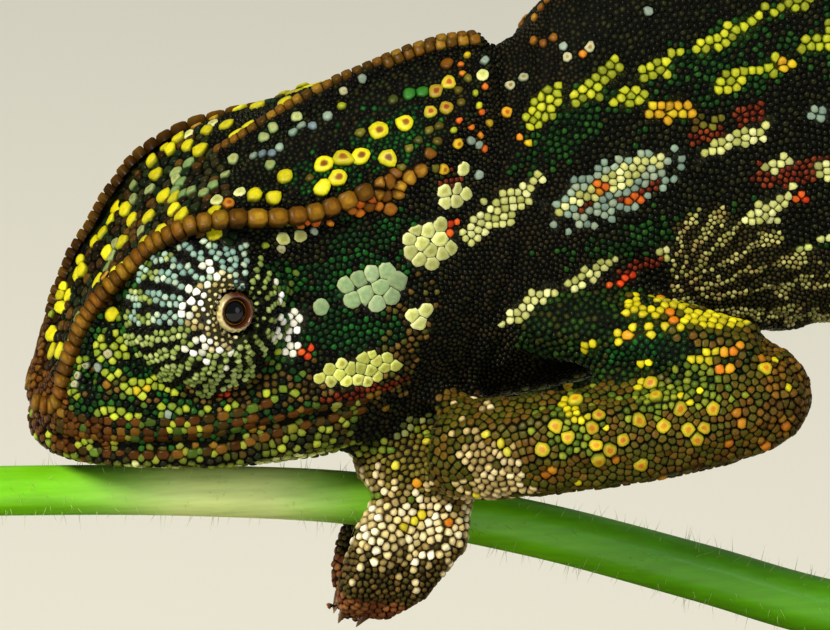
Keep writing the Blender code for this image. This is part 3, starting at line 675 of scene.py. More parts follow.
    "tailDark": kind(0.47, 0.12, 0.86, "#161c0e #1e2412 #10140a #2a3014", "#0b0e07 #0f1209 #080a05 #15180a",
        "#040503"),
}
kindNumber = {name: k for k, name in enumerate(kinds)}


def perKind(key):
    return np.array([spec[key] for spec in kinds.values()])


def grouped(*groups):
    # (kind, place, place, ...) groups, written out with the kind at each place
    return [(name, *place) for name, *places in groups for place in places]


# The markings: kind, back, up, half length, half height, tilt in degrees (rising backward)

headMarks = grouped(
    ("cheekOlive", (17.5, 4.6, 3.6, 2.4, 0), (9.0, 3.0, 6.0, 0.7, 0)),
    ("deepGreen", (13.9, 8.6, 2.3, 1.9, 15), (16.2, 10.3, 1.3, 0.6, 10), (14.0, 5.6, 2.2, 0.9, 0),
     (5.5, 3.4, 1.0, 0.6, -30)),
    ("cheekLime", (4.7, 3.2, 0.75, 0.28, 5), (3.4, 4.7, 0.5, 0.6, -60), (6.2, 2.2, 0.7, 0.25, 0),
     (11.2, 2.9, 0.7, 0.3, 5)), ("bluePlate", (15.25, 7.55, 1.5, 0.95, 8)),
    ("creamPlate", (18.0, 9.55, 1.35, 1.05, 25), (19.0, 11.7, 0.75, 0.42, -8), (17.7, 6.1, 0.72, 0.42, 12)),
    ("creamScale", (18.8, 4.8, 1.0, 0.42, -4)), ("lemonPlate", (14.6, 3.75, 2.0, 0.72, 6)),
    ("creamScale", (19.9, 7.2, 0.8, 0.55, -35), (19.3, 2.85, 0.95, 0.33, 48)),
    ("creamPlate", (11.3, 10.15, 0.95, 0.36, 24)),
    ("redOrange", (12.05, 4.75, 0.42, 0.26, 0), (18.95, 10.2, 0.4, 0.3, 30), (8.3, 2.75, 0.4, 0.18, 0)),
    ("redBrown", (15.0, 2.72, 2.4, 0.26, 4)),
    # painted highlight: near-white scales on the head just behind the turret
    ("turretWhite", (11.75, 6.0, 0.4, 0.6, 0), (11.5, 4.75, 0.4, 0.5, 0)),
    ("redBrown", (19.0, 12.4, 0.7, 0.2, 0)),
    ("ridgeOrange", (15.0, 11.6, 1.2, 0.3, 12), (12.4, 11.0, 0.8, 0.25, 5)),
)
crownMarks = grouped(
    ("deepGreen", (13.4, 12.7, 1.6, 0.5, 12), (16.4, 14.2, 1.9, 0.8, 20)),
    ("ochrePlate", (16.3, 12.4, 1.15, 0.6, 32)), ("ridgeOrange", (14.9, 11.8, 0.5, 0.35, 30)),
)
pairedPlates = grouped(  # single big plates of both sides, as (back, left, up)
    ("bluePlate", (12.9, 4.9, 6.8)),
    ("rosette", (17.0, 2.9, 14.9), (15.8, 2.8, 14.5), (14.0, 3.3, 13.5), (14.85, 3.5, 13.6),
     (16.0, 3.9, 13.6), (13.1, 3.3, 13.2), (13.7, 4.0, 12.8)),
    ("foreheadYellow", (12.9, 4.2, 12.4), (13.0, 2.9, 13.4), (11.4, 3.1, 12.6), (9.9, 3.7, 12.0),
     (10.7, 4.0, 12.0), (12.4, 4.8, 11.8)), ("foreheadOrange", (8.7, 3.8, 11.8)),
    ("creamPlate", (9.3, 3.2, 12.1), (8.2, 3.3, 11.8)), ("olivePlate", (12.5, 3.6, 12.7)),
    ("foreheadYellow", (3.7, 2.4, 8.4), (4.8, 2.0, 9.5), (6.4, 3.0, 11.1), (5.6, 2.6, 10.4),
     (2.9, 2.2, 7.0), (6.4, 2.0, 10.9), (4.9, 3.2, 9.9)),
    ("brownRosette", (18.6, 2.1, 16.0), (19.2, 2.0, 16.4), (18.2, 2.8, 15.3), (18.9, 2.9, 15.5)),
    ("ochrePlate", (19.3, 1.2, 17.0)),
    ("olivePlate", (19.1, 1.7, 16.6), (18.5, 3.4, 14.8), (18.0, 3.5, 14.7), (17.5, 3.7, 14.3),
     (17.0, 3.9, 14.0), (18.3, 4.0, 14.3), (19.6, 2.4, 16.1), (19.6, 2.9, 15.7), (20.1, 2.1, 16.6),
     (18.2, 4.5, 13.1), (16.4, 4.5, 13.3), (16.7, 1.8, 15.6), (15.0, 2.6, 14.4)),
    ("greenPlate", (17.4, 1.9, 15.9), (18.0, 2.0, 16.0), (17.4, 3.2, 14.6)),
    ("ochrePlate", (17.2, 4.2, 13.7), (17.9, 4.3, 13.8), (17.5, 4.6, 13.1), (16.8, 4.7, 12.8),
     (15.9, 4.8, 12.9), (15.1, 4.8, 11.4), (16.0, 4.8, 11.4)),
    ("orangeScale", (19.9, 1.4, 17.0), (19.9, 1.8, 16.7), (19.4, 3.6, 15.1)),
    ("foreheadOrange", (19.3, 4.1, 14.1)),
    ("orangeScale", (20.6, 3.3, 15.3), (20.0, 3.6, 14.7), (20.5, 3.7, 14.3), (20.6, 3.5, 13.6)),
    ("foreheadOrange", (18.6, 4.4, 13.0)), ("redBrown", (19.0, 4.3, 12.95)),
    ("orangeScale", (20.8, 2.6, 16.3)), ("paleBead", (20.9, 0.4, 17.9), (20.5, 0.6, 17.8)),
    ("yellowScale", (20.3, 1.0, 17.4)), ("paleBead", (21.0, 1.6, 17.2)), ("creamPlate", (20.7, 2.2, 16.8)),
    ("paleBead", (20.0, 3.9, 14.15), (20.35, 3.8, 13.9)), ("creamPlate", (19.6, 4.2, 12.9)),
    ("limeScale", (20.3, 2.8, 16.1), (20.5, 3.2, 15.6)), ("yellowScale", (20.9, 3.2, 14.7)),
    ("limeScale", (19.1, 3.8, 14.7)), ("olivePlate", (19.3, 4.0, 14.6)),
    ("paleBead", (14.6, 0.7, 15.7), (15.5, 0.6, 16.2), (17.7, 0.7, 17.0)), ("limeScale", (14.4, 1.2, 15.2)),
    ("creamPlate", (11.9, 4.8, 10.3), (11.1, 4.7, 10.15)),
    ("paleBead", (12.5, 4.8, 10.4), (11.0, 4.5, 9.5)), ("cheekLime", (10.3, 4.5, 9.8)),
    ("olivePlate", (9.5, 4.7, 10.6), (9.0, 4.7, 10.8)),
    ("paleBead", (2.2, 3.3, 3.95), (1.8, 3.1, 3.45), (1.8, 3.2, 2.95), (2.75, 3.7, 3.95)),
    ("cheekLime", (3.1, 3.9, 3.75)), ("brownBead", (3.1, 4.1, 3.2)), ("paleBead", (8.4, 5.5, 2.25)),
    ("creamPlate", (10.5, 5.8, 1.75)), ("orangeScale", (9.85, 5.7, 1.6)), ("paleBead", (5.8, 5.2, 2.0)),
    ("cheekLime", (6.2, 5.1, 2.9), (3.4, 4.6, 1.8)),
    ("yellowScale", (4.4, 4.7, 3.1), (5.0, 4.8, 3.3), (2.1, 2.9, 4.7), (10.2, 5.7, 2.5)),
    ("paleBead", (3.2, 3.8, 4.6)), ("redOrange", (8.4, 4.0, 2.5)), ("foreheadOrange", (21.8, 2.8, 15.1)),
    ("orangeScale", (13.3, 4.9, 10.6)),
    ("paleBead", (20.3, 3.9, 12.5), (22.7, 2.2, 16.5), (22.1, 2.2, 16.1), (24.5, 2.5, 17.8),
     (24.7, 2.8, 17.3), (25.7, 3.1, 17.7)), ("orangeScale", (25.4, 3.0, 17.4)),
    ("paleBead", (28.5, 3.4, 19.1)), ("orangeScale", (22.3, 3.5, 14.0)), ("yellowScale", (22.7, 3.6, 13.7)),
    ("brownBead", (23.6, 2.0, 18.0), (24.1, 2.2, 18.3), (23.2, 1.2, 17.9)),
)
foreheadPlates = grouped(  # and those of one side only
    ("foreheadYellow", (5.0, -0.7, 9.4), (5.6, 0.6, 10.0), (6.4, -0.1, 10.7), (6.7, 0.9, 11.0),
     (4.5, -0.1, 8.6), (3.9, -0.6, 7.9), (3.3, 0.5, 6.9), (2.9, -1.4, 6.7), (7.3, -3.0, 11.4),
     (8.0, -2.4, 11.8), (8.4, -1.6, 12.1), (8.9, -2.7, 12.2), (8.9, -0.9, 12.5), (9.9, -1.2, 13.0),
     (10.5, -1.1, 13.5), (12.2, -1.3, 14.5), (9.7, -2.4, 12.7)),
    ("foreheadOrange", (9.3, -3.9, 12.3), (3.5, 1.4, 7.5)),
    ("redBrown", (7.4, -4.3, 11.5), (7.9, -4.2, 11.6)),
    ("foreheadPale", (5.2, -2.0, 10.0), (6.0, -1.4, 10.5), (5.4, -2.8, 10.3), (7.2, -0.1, 11.4),
     (7.8, 2.2, 11.7), (8.3, 2.0, 12.0), (8.9, 1.5, 12.4), (9.4, 0.9, 12.8), (11.3, 0.7, 14.1),
     (10.9, 0.8, 13.7), (12.4, 0.8, 14.6), (10.9, 2.3, 12.9)),
    ("paleBlue", (10.2, 1.3, 13.2), (10.6, 1.6, 13.3), (11.05, 1.8, 13.3), (11.45, 1.7, 13.5),
     (12.1, 1.3, 14.1), (12.5, 1.1, 14.4), (13.0, 1.5, 14.4), (13.7, 1.4, 14.8), (13.6, 1.1, 15.1)),
)
foreLegPlates = grouped(
    ("foreLegRosette", (24.3, 8.0, 2.3), (24.7, 9.3, 1.6), (25.0, 9.2, 2.1), (23.1, 9.0, 1.8),
     (23.6, 9.3, 1.3), (26.8, 9.4, 1.6), (27.7, 8.0, 2.8), (27.8, 8.8, 2.2), (28.7, 9.4, 1.8),
     (27.9, 9.6, 1.2), (26.0, 9.7, 0.9), (29.0, 9.8, 0.9), (29.4, 9.9, 0.3), (29.7, 9.8, 0.9),
     (30.1, 9.8, 0.5), (24.9, 9.9, 0.2), (24.8, 9.7, 0.85), (25.4, 9.8, 0.6), (26.9, 9.6, -0.5),
     (30.2, 9.5, 1.6), (32.8, 8.9, 3.2), (22.5, 9.2, 0.8)),
    ("foreLegOrange", (25.7, 9.8, 0.0), (28.3, 8.1, -1.9), (31.5, 9.8, 0.8), (31.3, 9.7, 1.4),
     (32.7, 8.5, 3.5), (33.8, 9.1, 0.4), (32.9, 9.1, -0.6), (31.0, 9.5, -0.2), (22.6, 9.4, -0.4),
     (22.9, 9.5, -0.1)),
    ("armYellow", (33.5, 8.4, 3.6), (33.9, 9.2, 2.3), (24.1, 9.4, -1.0), (29.7, 9.1, 2.5), (28.8, 9.1, 2.4),
     (29.2, 9.3, 2.0), (25.3, 9.4, 1.5)),
)
handPlates = grouped(
    ("handYellow", (20.9, 8.2, 0.9), (20.5, 7.6, 1.1), (21.1, 8.5, 0.55), (19.9, 7.5, -1.8),
     (17.9, 5.1, -3.7), (17.0, 5.8, -4.0), (17.5, 5.4, -3.9)),
    ("armOrange", (19.1, 5.8, -3.9), (17.5, 5.4, -2.1)),
    ("handYellow", (18.3, 4.4, -0.6), (19.0, 4.3, -0.5), (16.5, 5.0, -1.2)),
)
singlePlates = foreheadPlates + foreLegPlates + handPlates
trunkMarks = grouped(
    ("flankGreen", (24.5, 14.2, 2.6, 0.8, 40), (33.5, 16.2, 4.0, 0.7, 24), (31.0, 17.0, 3.0, 0.9, 26),
     (29.0, 8.8, 3.4, 0.8, 8)),
    ("limeScale", (23.6, 15.3, 1.15, 0.52, 45), (25.9, 16.1, 1.5, 0.48, 36), (28.8, 16.6, 1.0, 0.42, 28),
     (32.3, 18.0, 2.1, 0.4, 27), (35.8, 19.4, 1.5, 0.36, 22), (32.1, 15.8, 0.95, 0.42, 24),
     (34.1, 16.5, 0.85, 0.36, 24), (36.4, 17.5, 1.2, 0.4, 24)), ("yellowScale", (34.6, 16.5, 0.45, 0.3, 0)),
    ("limeScale", (27.5, 15.4, 0.9, 0.45, -8)), ("yellowScale", (29.3, 14.6, 1.2, 0.5, -2)),
    ("olive", (30.9, 13.8, 0.8, 0.28, 0)),
    ("redBrown", (33.0, 14.25, 1.05, 0.5, 25), (31.0, 13.3, 1.0, 0.32, 12)),
    ("creamScale", (32.4, 13.05, 2.0, 0.42, 22)), ("redBrown", (35.2, 11.4, 2.2, 0.62, 5)),
    ("creamScale", (34.4, 11.75, 0.65, 0.33, 10), (36.3, 11.5, 0.5, 0.36, 0), (33.9, 9.35, 1.7, 0.55, 44)),
    ("redOrange", (35.4, 10.2, 0.4, 0.28, 0)),
    ("ocellusEdge", (36.2, 14.1, 0.5, 0.38, 0), (26.6, 11.25, 3.0, 1.25, 18)),
    ("creamScale", (26.6, 11.65, 2.6, 0.5, 21)),
    ("redBrown", (27.9, 10.95, 0.95, 0.25, 20), (25.2, 10.6, 0.5, 0.2, 15)),
    ("orangeScale", (27.6, 10.7, 0.45, 0.2, 10), (25.9, 11.4, 0.35, 0.25, 0)),
    ("creamScale", (21.4, 10.75, 2.1, 0.62, 36), (22.85, 5.95, 1.4, 0.42, 37), (23.4, 5.1, 0.9, 0.22, 70),
     (25.6, 7.2, 1.5, 0.36, 24)), ("redOrange", (26.7, 6.55, 1.4, 0.26, 20)),
    ("creamScale", (25.9, 5.95, 0.8, 0.25, 24)), ("redBrown", (28.2, 7.3, 1.3, 0.3, 12)),
    ("creamScale", (29.8, 7.75, 1.05, 0.36, -14)), ("redBrown", (31.4, 7.3, 1.6, 0.7, -10)),
    ("sideLine", (35.0, 7.1, 1.7, 0.42, 20)), ("redBrown", (35.8, 6.45, 1.9, 0.28, 18)),
    ("sideLine", (35.6, 5.75, 1.2, 0.28, 12), (36.9, 4.3, 1.4, 0.5, 8)),
)
upperArmMarks = grouped(
    ("armYellow", (29.6, 5.55, 1.8, 0.5, -8), (31.7, 5.15, 1.0, 0.3, -22), (27.3, 6.0, 0.5, 0.28, 0),
     (29.3, 5.1, 0.5, 0.35, -40), (29.3, 6.35, 0.9, 0.3, -12)), ("armOrange", (29.0, 5.6, 0.42, 0.3, 0)),
    ("armYellow", (27.2, 5.1, 1.0, 0.32, 16), (25.3, 4.35, 0.42, 0.36, 0), (28.5, 4.8, 0.55, 0.24, 20)),
    ("armOrange", (27.0, 4.95, 0.4, 0.26, 0)),
    ("armYellow", (27.5, 3.8, 0.32, 0.34, 0), (30.6, 3.88, 1.2, 0.28, 5)),
    ("armOrange", (30.9, 3.9, 0.3, 0.16, 0)), ("foreLegGreen", (30.3, 3.3, 1.1, 0.28, 0)),
    ("armOrange", (31.0, 3.28, 0.4, 0.18, -5)), ("deepGreen", (27.6, 4.4, 2.0, 0.6, 12)),
    ("foreLeg", (31.8, 4.4, 2.6, 0.8, -14)), ("armYellow", (30.9, 5.15, 1.5, 0.3, -12)),
    ("armOrange", (31.6, 4.05, 0.3, 0.2, 0)),
)
foreLegMarks = grouped(
    ("elbow", (34.6, 0.4, 2.4, 3.6, 0)), ("legUnder", (30.0, -1.9, 4.5, 0.8, 6)),
    ("foreLegGreen", (23.9, 1.6, 1.2, 0.8, 0), (28.6, 2.3, 2.2, 0.7, 0)),
    ("armYellow", (23.9, 2.2, 0.6, 0.3, -20), (27.6, 2.75, 0.5, 0.25, 0)),
    ("wristPale", (20.6, -0.6, 1.3, 1.7, 18)), ("foreLegOrange", (22.7, -0.3, 0.5, 0.35, 0)),
)
handMarks = grouped(
    ("wristPale", (17.0, -4.15, 3.2, 1.75, -3), (20.2, -1.8, 1.2, 1.4, 0)),
    # pale cream patch on the hand, partly painted highlight
    ("handWhite", (16.8, -4.3, 2.4, 1.2, -6)),
)


def inMark(b, mark, edge):
    _, back, up, long, deep, tilt = mark
    c, s = math.cos(math.radians(tilt)), math.sin(math.radians(tilt))
    u = (b[:, 0] - back) * c + (b[:, 2] - up) * s
    v = (b[:, 2] - up) * c - (b[:, 0] - back) * s
    return (u / long) ** 2 + (v / deep) ** 2 < (1 + edge) ** 2


softKinds = ("wristPale", "handWhite", "foreLegGreen", "elbow", "legUnder", "deepGreen", "flankGreen",
             "cheekOlive", "olive", "palmOlive", "cheekLime", "foreLeg")
legParts = {"upper_arm": "upper", "thigh": "upper", "forearm": "lower", "shin": "lower",
            "palm": "palm", "outer_toes": "toes", "inner_toes": "toes"}
partOf = {name: name.rstrip("_0123456789") for name in fleshNodes}
partOf.update({name: part for end, part in legParts.items() for name in fleshNodes if name.endswith(end)})


def kindsAt(points, owner):
    # the kind of scale at each point of the skin: the ground colour of its part, then the markings over it
    b = toBody(points)
    back, left, up = b.T
    part = np.array([partOf[name] for name in owner])
    found = np.full(len(points), "trunkBlack", dtype="U16")
    edge = 0.2 * wobble(b, 0.9, 11) + 0.1 * wobble(b, 0.4, 12)
    soft = edge + 0.55 * wobble(b, 0.31, 22)  # for markings that fade out scale by scale
    broad, fine = wobble(b, 3.4, 13), wobble(b, 1.2, 14)

    def lay(name, where):
        found[where] = name

    def layMarks(marks, where, plateEdge=1):
        for mark in marks:
            rough = soft if mark[0] in softKinds else edge * (plateEdge if mark[0].endswith("Plate") else 1)
            lay(mark[0], where & inMark(b, mark, rough))

    onHead, onJaw = part == "head", part == "lower_jaw"
    rim = np.array(browLine + casqueLine[1:])
    brow, browWide = (np.interp(back, rim[:, 0], rim[:, k]) for k in (2, 1))
    inward = browWide - np.abs(left)
    crown = onHead & ((up > brow - 0.1) | (inward > 0.5) & (up > brow - 2.4)) & (back > 0.8) & (back < 21.5)
    lay("cheekGreen", onHead & ~crown)
    lay("cheekLime", onHead & ~crown & (back < 11) & (fine > 0.62))
    lay("templeBlack", onHead & ~crown & (back > 12.2 - 0.3 * broad))
    lay("snoutDark", crown & (back < 9))
    snoutTop = crown & (back < 8.5)
    lay("foreheadBrown", snoutTop & (wobble(b, 1.5, 15) > 0.1))
    lay("foreheadPale", snoutTop & (np.abs(left) < 1.7) & (fine > 0.6) & (back > 2))
    lay("foreheadYellow", snoutTop & (inward < 1.7 + 0.4 * broad) & (fine > 0.1) & (back > 1.2))
    lay("templeBlack", crown & (back >= 9))
    lay("snoutBrown", (onHead | onJaw) & ((back < 1.4 + 0.3 * fine) | (back < 3.3 + 0.4 * fine) & (up < 1.7)))
    lay("throat", onJaw & (back >= 2.2 + 0.3 * fine))
    lay("throat", onHead & (up < -0.4))
    layMarks(headMarks, onHead & ~crown, plateEdge=0.3)
    layMarks(crownMarks, crown | onHead & (back > 14))
    lay("cheekLime", onJaw & (fine > 0.55) & (up > -1.2))
    lay("labialYellow", (onHead | onJaw) & (np.abs(up - mouthUp(back)) < 0.75) & (back > 3) & (fine > 0.6))

    onNeck, onTrunk = part == "neck", part == "trunk"
    lay("neckBlack", onNeck | (onTrunk & (back < 25.5 + 0.12 * (12 - up) + 0.5 * broad)))
    bottom = (onNeck | onTrunk) & (up < np.interp(back, [16, 24, 34, 60, 78], [0.4, 1.2, 3.6, 6.0, 9.0]))
    lay("bellyPale", bottom & (fine > -0.35))
    # the rear flank repeats the plan of the shoulder: slanting streaks above, three eye spots, a pale side
    # line and dark bars between
    rear = onTrunk & (back > 36.5)
    spine = np.interp(back, np.array(backLine)[:, 0], np.array(backLine)[:, 2])
    slant = back - 1.9 * (up - 14)
    lay("flankGreen", rear & (wobble(b, 4.6, 16) > 0.35))
    streak = np.sin(slant * 2 * math.pi / 5.4 + 0.9 * broad)
    lay("limeScale", rear & (up > 17.4 + 0.5 * broad) & (up < spine - 1.0) & (streak > 0.86) & (fine > -0.45))
    lay("yellowScale", rear & (up > 17.4) & (up < spine - 1.5) & (streak > 0.93) & (fine > 0.35))
    eyeSpot = (("redBrown", 0, 0.2, 4.6, 2.3), ("ocellusEdge", 0, 0, 3.7, 1.7),
               ("creamScale", 0, 0.15, 3.1, 0.95), ("redBrown", 1.2, -0.9, 1.1, 0.3),
               ("orangeScale", -0.4, 0.1, 0.8, 0.35))
    for k, centre in enumerate((42.5, 56.5, 68.0)):
        size = 1.0 - 0.16 * k
        layMarks([(name, centre + dx * size, 14.4 - 0.4 * k + dy * size, long * size, deep * size, 6)
                  for name, dx, dy, long, deep in eyeSpot], rear)
    sideUp = 8.6 + 0.03 * (back - 40) + 0.35 * broad
    lay("sideLine", rear & (np.abs(up - sideUp) < 0.5 + 0.12 * fine) & (back < 74) & (fine > -0.75))
    lay("redBrown", rear & (np.abs(up - sideUp + 0.95) < 0.35) & (fine > 0.1))
    lay("creamScale", rear & (np.abs(up - sideUp - 2.6) < 0.3) & (streak < -0.3) & (fine > 0.15))
    layMarks(trunkMarks, onNeck | onTrunk | onHead & (back > 20.5))
    # the fold behind the arm: thin pale and dark rays out of the shoulder
    reach = np.hypot(back - shoulder[0], up - shoulder[1])
    fan = onTrunk & (left > 0) & (reach < 4.4 + 0.6 * broad) & (up > 2.5) & (back > 29.5) | (
        onTrunk & (left > 0) & (back > 33) & (back < 39) & (up > 3.2) & (up < 7.6 + 0.3 * broad))
    rays = np.sin(np.arctan2(up - shoulder[1], back - 29.0) * 26 + 1.2 * fine)
    lay("foldDark", fan)
    lay("foldPale", fan & (rays + 0.6 * wobble(b, 0.6, 23) > 0.25))
    stripe = np.sin(left * 2 * math.pi / 1.9 + 0.5 * broad) > 0.35
    under = (onJaw | onNeck | onHead) & (up < -0.55)
    lay("sideLine", under & stripe & (back > 4) & (back < 24) & (fine > -0.6))

    # turrets: pale rows run out from the lids between black ones
    for side, eye in eyes.items():
        on = part == f"eye_turret_{side}"
        out = unit(points - eye["middle"])
        polar = np.degrees(np.arccos(np.clip(dot(out, eye["way"]), -1, 1)))
        turn = np.arctan2(dot(out, eye["up"]), dot(out, eye["forward"]))  # 0 points at the snout
        rows = np.cos(22 * turn + 0.6 * wobble(out, 0.7, 17) + polar * 0.016)
        dots = wobble(b, 0.85, 18)
        pale = rows > -0.25 + 0.5 * dots - 0.4 * (polar < 34)
        lay("turretBlack", on)
        lay("turretBlue", on & pale & (np.sin(turn - 0.15) > -0.35) & (np.cos(turn) > -0.55))
        lay("turretLime", on & pale & ((np.sin(turn - 0.15) <= -0.35) | (np.cos(turn) <= -0.55)))
        lay("turretLime", on & pale & (polar > 66) & (dots > -0.1))
        lay("turretBlack", on & (np.cos(turn) < -0.4) & (rows < 0.5) & (polar < 75))
        near = on & (polar < 40 + 7 * dots) & (np.cos(turn) > 0.05)
        # painted highlight: near-white scales beside the lid on the snout side
        lay("turretWhite", near & (rows > -0.5))
        lay("turretCream", near & (dots < -0.3))
        lay("turretCream", on & (polar < 27) & (np.cos(turn) > -0.1) & (dots > 0.1))
        # painted highlight: near-white streaks along the turret's rear edge
        lay("turretWhite", on & (polar > 48) & (polar < 72) & (np.abs(turn) > 2.55) & (dots > -0.15))
        lay("redBrown", on & (np.abs(turn + 2.4) < 0.12) & (polar > 52) & (dots > 0))
        lay("none", on & (polar < 11.4))
        lay("none", onHead & (np.linalg.norm(points - eye["eye"], axis=1) < 1.0))

    # legs
    arm, lower = part == "upper", part == "lower"
    leftArm = np.char.startswith(owner, "front_left")
    lay("armDark", arm)
    lay("foreLeg", lower)
    lay("legUnder", (arm | lower) & (np.abs(left) < 5) & ~leftArm & (fine < 0))
    spot = wobble(b, 1.5, 19)
    lay("foreLegGreen", (arm | lower) & ~leftArm & (wobble(b, 3, 20) > 0.35))
    lay("foreLegRosette", (arm | lower) & ~leftArm & (spot > 0.78))
    lay("armYellow", arm & ~leftArm & (wobble(b * (0.5, 0.5, 1.6), 1.6, 21) > 0.85))
    lay("armDark", arm & leftArm)
    layMarks(upperArmMarks, arm & leftArm & (left > 4))
    layMarks(foreLegMarks, lower & leftArm)
    palm = part == "palm"
    lay("palmOlive", palm)
    lay("foreLegGreen", palm & (spot > 0.55))
    lay("toeDark", part == "toes")
    grip = stemUp(back)
    lay("wristPale", (part == "toes") & ~leftArm & (up > grip - 0.4) & (fine > -0.3))
    lay("toePad", (part == "toes") & (up < grip - 3.4 + 0.3 * fine))
    layMarks(handMarks, (palm | lower | (part == "toes")) & leftArm & (left > 1.5))

    # tail: pale and dark bands
    onTail = part == "tail_length"
    run, _ = alongTail(points[onTail])
    band = np.sin(run * 2 * math.pi / 9.5 + 0.6 * broad[onTail])
    ring = np.where(band > 0.25, "tailBand", "tailDark").astype("U16")
    ring[(band > 0.8) & (fine[onTail] > 0.2)] = "limeScale"
    ring[(np.abs(band - 0.25) < 0.18) & (fine[onTail] > 0)] = "redBrown"
    found[onTail] = ring

    lay("none", (onHead | onJaw) & (np.abs(up - mouthUp(back)) < mouth["gap"]) & (back < mouth["corner"]))
    for side in (1, -1):
        lay("none", onHead & (np.linalg.norm(b - nostril * (1, side, 1), axis=1) < 0.37))
    for tip in clawRoots:
        lay("none", (part == "toes") & (np.linalg.norm(points - tip, axis=1) < 0.34))
    return np.array([kindNumber[name] for name in found])


# Routes that other parts follow

stem = {"route": ((-10, -2.6, 1.14), (0, -3.0, 1.15), (8, -3.5, 1.18), (16, -4.4, 1.24), (24, -6.3, 1.3),
                  (32, -8.9, 1.36), (38, -11, 1.4), (46, -13, 1.42), (56, -14.3, 1.43), (68, -14, 1.44),
                  (80, -12.5, 1.45), (92, -10.5, 1.45), (100, -9, 1.45))}  # back, up, radius
tail = {"start": (82.3, 13.1), "pulls": ((93.0, 12.9), (106.0, 10.5)), "coil": (118.0, -1.0),
        "radii": (11.5, 3.0), "turns": 1.4}
feet = {
    "grips": {"front_left": 17.3, "hind_left": 69.6, "hind_right": 78.6}, "lifted": (13.3, -11.2, 1.2),
    "two": (((-2, 2.7, -2.9), (-2.3, 1.7, -4), 0.95), ((0.1, 2.8, -3), (-1, 1.7, -4.3), 1.0)),
    "three": (((-1.4, 2.5, -3), (-2, 1.5, -4.1), 0.75), ((-0.1, 2.7, -3.1), (-1.3, 1.6, -4.3), 0.75),
              ((1.3, 2.7, -3.2), (-0.4, 1.7, -4.5), 0.75)),  # last two joints (back, out, up) and radius
    "claw": 1.05, "clawRadius": 0.27,
}


def stemUp(back):
    line = np.array(stem["route"])
    return np.interp(back, line[:, 0], line[:, 1])


def tailRoute():
    start, end = np.array(tail["start"]), np.array(tail["coil"]) + (0, tail["radii"][0])
    t = np.linspace(0, 1, 60, endpoint=False)[:, None]
    p, q = np.array(tail["pulls"])
    run = (1 - t)**3 * start + 3 * t * (1 - t)**2 * p + 3 * t**2 * (1 - t) * q + t**3 * end
    t = np.linspace(0, 1, 240)
    angle = math.pi / 2 - 2 * math.pi * tail["turns"] * t
    radius = tail["radii"][0] + (tail["radii"][1] - tail["radii"][0]) * t
    coil = np.stack([np.cos(angle), np.sin(angle)], 1) * radius[:, None] + tail["coil"]
    return np.concatenate([run, coil])


tailLine = tailRoute()
tailRun = np.concatenate([[0], np.cumsum(np.linalg.norm(np.diff(tailLine, axis=0), axis=1))])


def alongTail(points):
    # distance from the tail's root, and the turn round it
    b = toBody(points)
    if not len(b):
        return np.zeros(0), np.zeros(0)
    flat = b[:, [0, 2]]
    near = ((flat[:, None] - tailLine[None]) ** 2).sum(2).argmin(1)
    ahead = tailLine[np.minimum(near + 1, len(tailLine) - 1)] - tailLine[np.maximum(near - 1, 0)]
    ahead /= np.linalg.norm(ahead, axis=1)[:, None]
    off = flat - tailLine[near]
    height = off[:, 1] * ahead[:, 0] - off[:, 0] * ahead[:, 1]
    return tailRun[near], np.arctan2(b[:, 1], height)


def clawPlaces():
    roots, ways = [], []
    for foot in ("front_left", "front_right", "hind_left", "hind_right"):
        side = 1 if foot.endswith("left") else -1
        at = feet["grips"].get(foot)
        centre = np.array((at, 0, stemUp(at)) if at else feet["lifted"])
        outer, inner = ("two", "three") if foot.startswith("front") else ("three", "two")
        for toes, sign in ((feet[outer], side), (feet[inner], -side)):
            for before, tip, radius in toes:
                before, tip = (centre + (j[0], j[1] * sign, j[2]) for j in (before, tip))
                onward = unit(tip - before)
                roots.append(tip + onward * radius * 0.7)
                ways.append(unit(onward + (-0.3, 0, -0.2)))
    flip = np.array((1, -1, 1))
    return np.array(roots) * flip + (body["snout"], 0, body["mouth"]), np.array(ways) * flip


clawRoots, clawWays = clawPlaces()

# The scales: each takes the room that its neighbours leave it, so they are fitted and not instanced

coat = {"seed": 7, "fullness": 0.9, "rounds": 9, "neighbours": 9,
        "coarser": 0.55,  # the rear's scales are this much wider
        "push": 0.42, "stride": 0.35,  # how far crowded scales part in a round, and their longest step
        "bedDepth": 0.06, "lean": 0.13, "pieceLimit": 180000}  # in triangles
pitches = perKind("pitch")
skinTree = BVHTree.FromPolygons(skinPoints.tolist(), skinTris.tolist())


def onSkin(points):
    # the nearest place on the skin, its smooth normal and the node it belongs to
    found = [skinTree.find_nearest(p) for p in points.tolist()]
    place = np.array([f[0] for f in found])
    tri = np.array([f[2] for f in found])
    corners = skinTris[tri]
    weight = 1 / (np.linalg.norm(skinPoints[corners] - place[:, None], axis=2) + 0.02)
    normal = unit((skinNormals[corners] * weight[..., None]).sum(1))
    return place, normal, skinOwner[corners[:, 0]]


def pitchOf(kindIndex, points):
    back = points[:, 0] - body["snout"]
    t = np.clip((back - 37) / 10, 0, 1)
    return pitches[kindIndex] * (1 + coat["coarser"] * t)


# scales of these kinds stand in bars: half width, and depth of the root
bars = {"ridge": (0.42, 0.28), "crestBead": (0.31, 0.16), "labial": (0.25, 0.1), "labialYellow": (0.25, 0.1),
        "square": 4.0,  # the power that squares their outline
        "seed": 12}


def paced(line, spacing, rng):
    # places along a line, where the spacing changes with (back, spacing) pairs and varies a little
    fine = smoothLine(line, 0.04)
    steps = np.cumsum(0.04 / np.interp(fine[:, 0], *zip(*spacing)))
    marks = np.arange(0.5, steps[-1], 1)
    return fine[np.searchsorted(steps, marks + rng.uniform(-0.12, 0.12, len(marks)))]


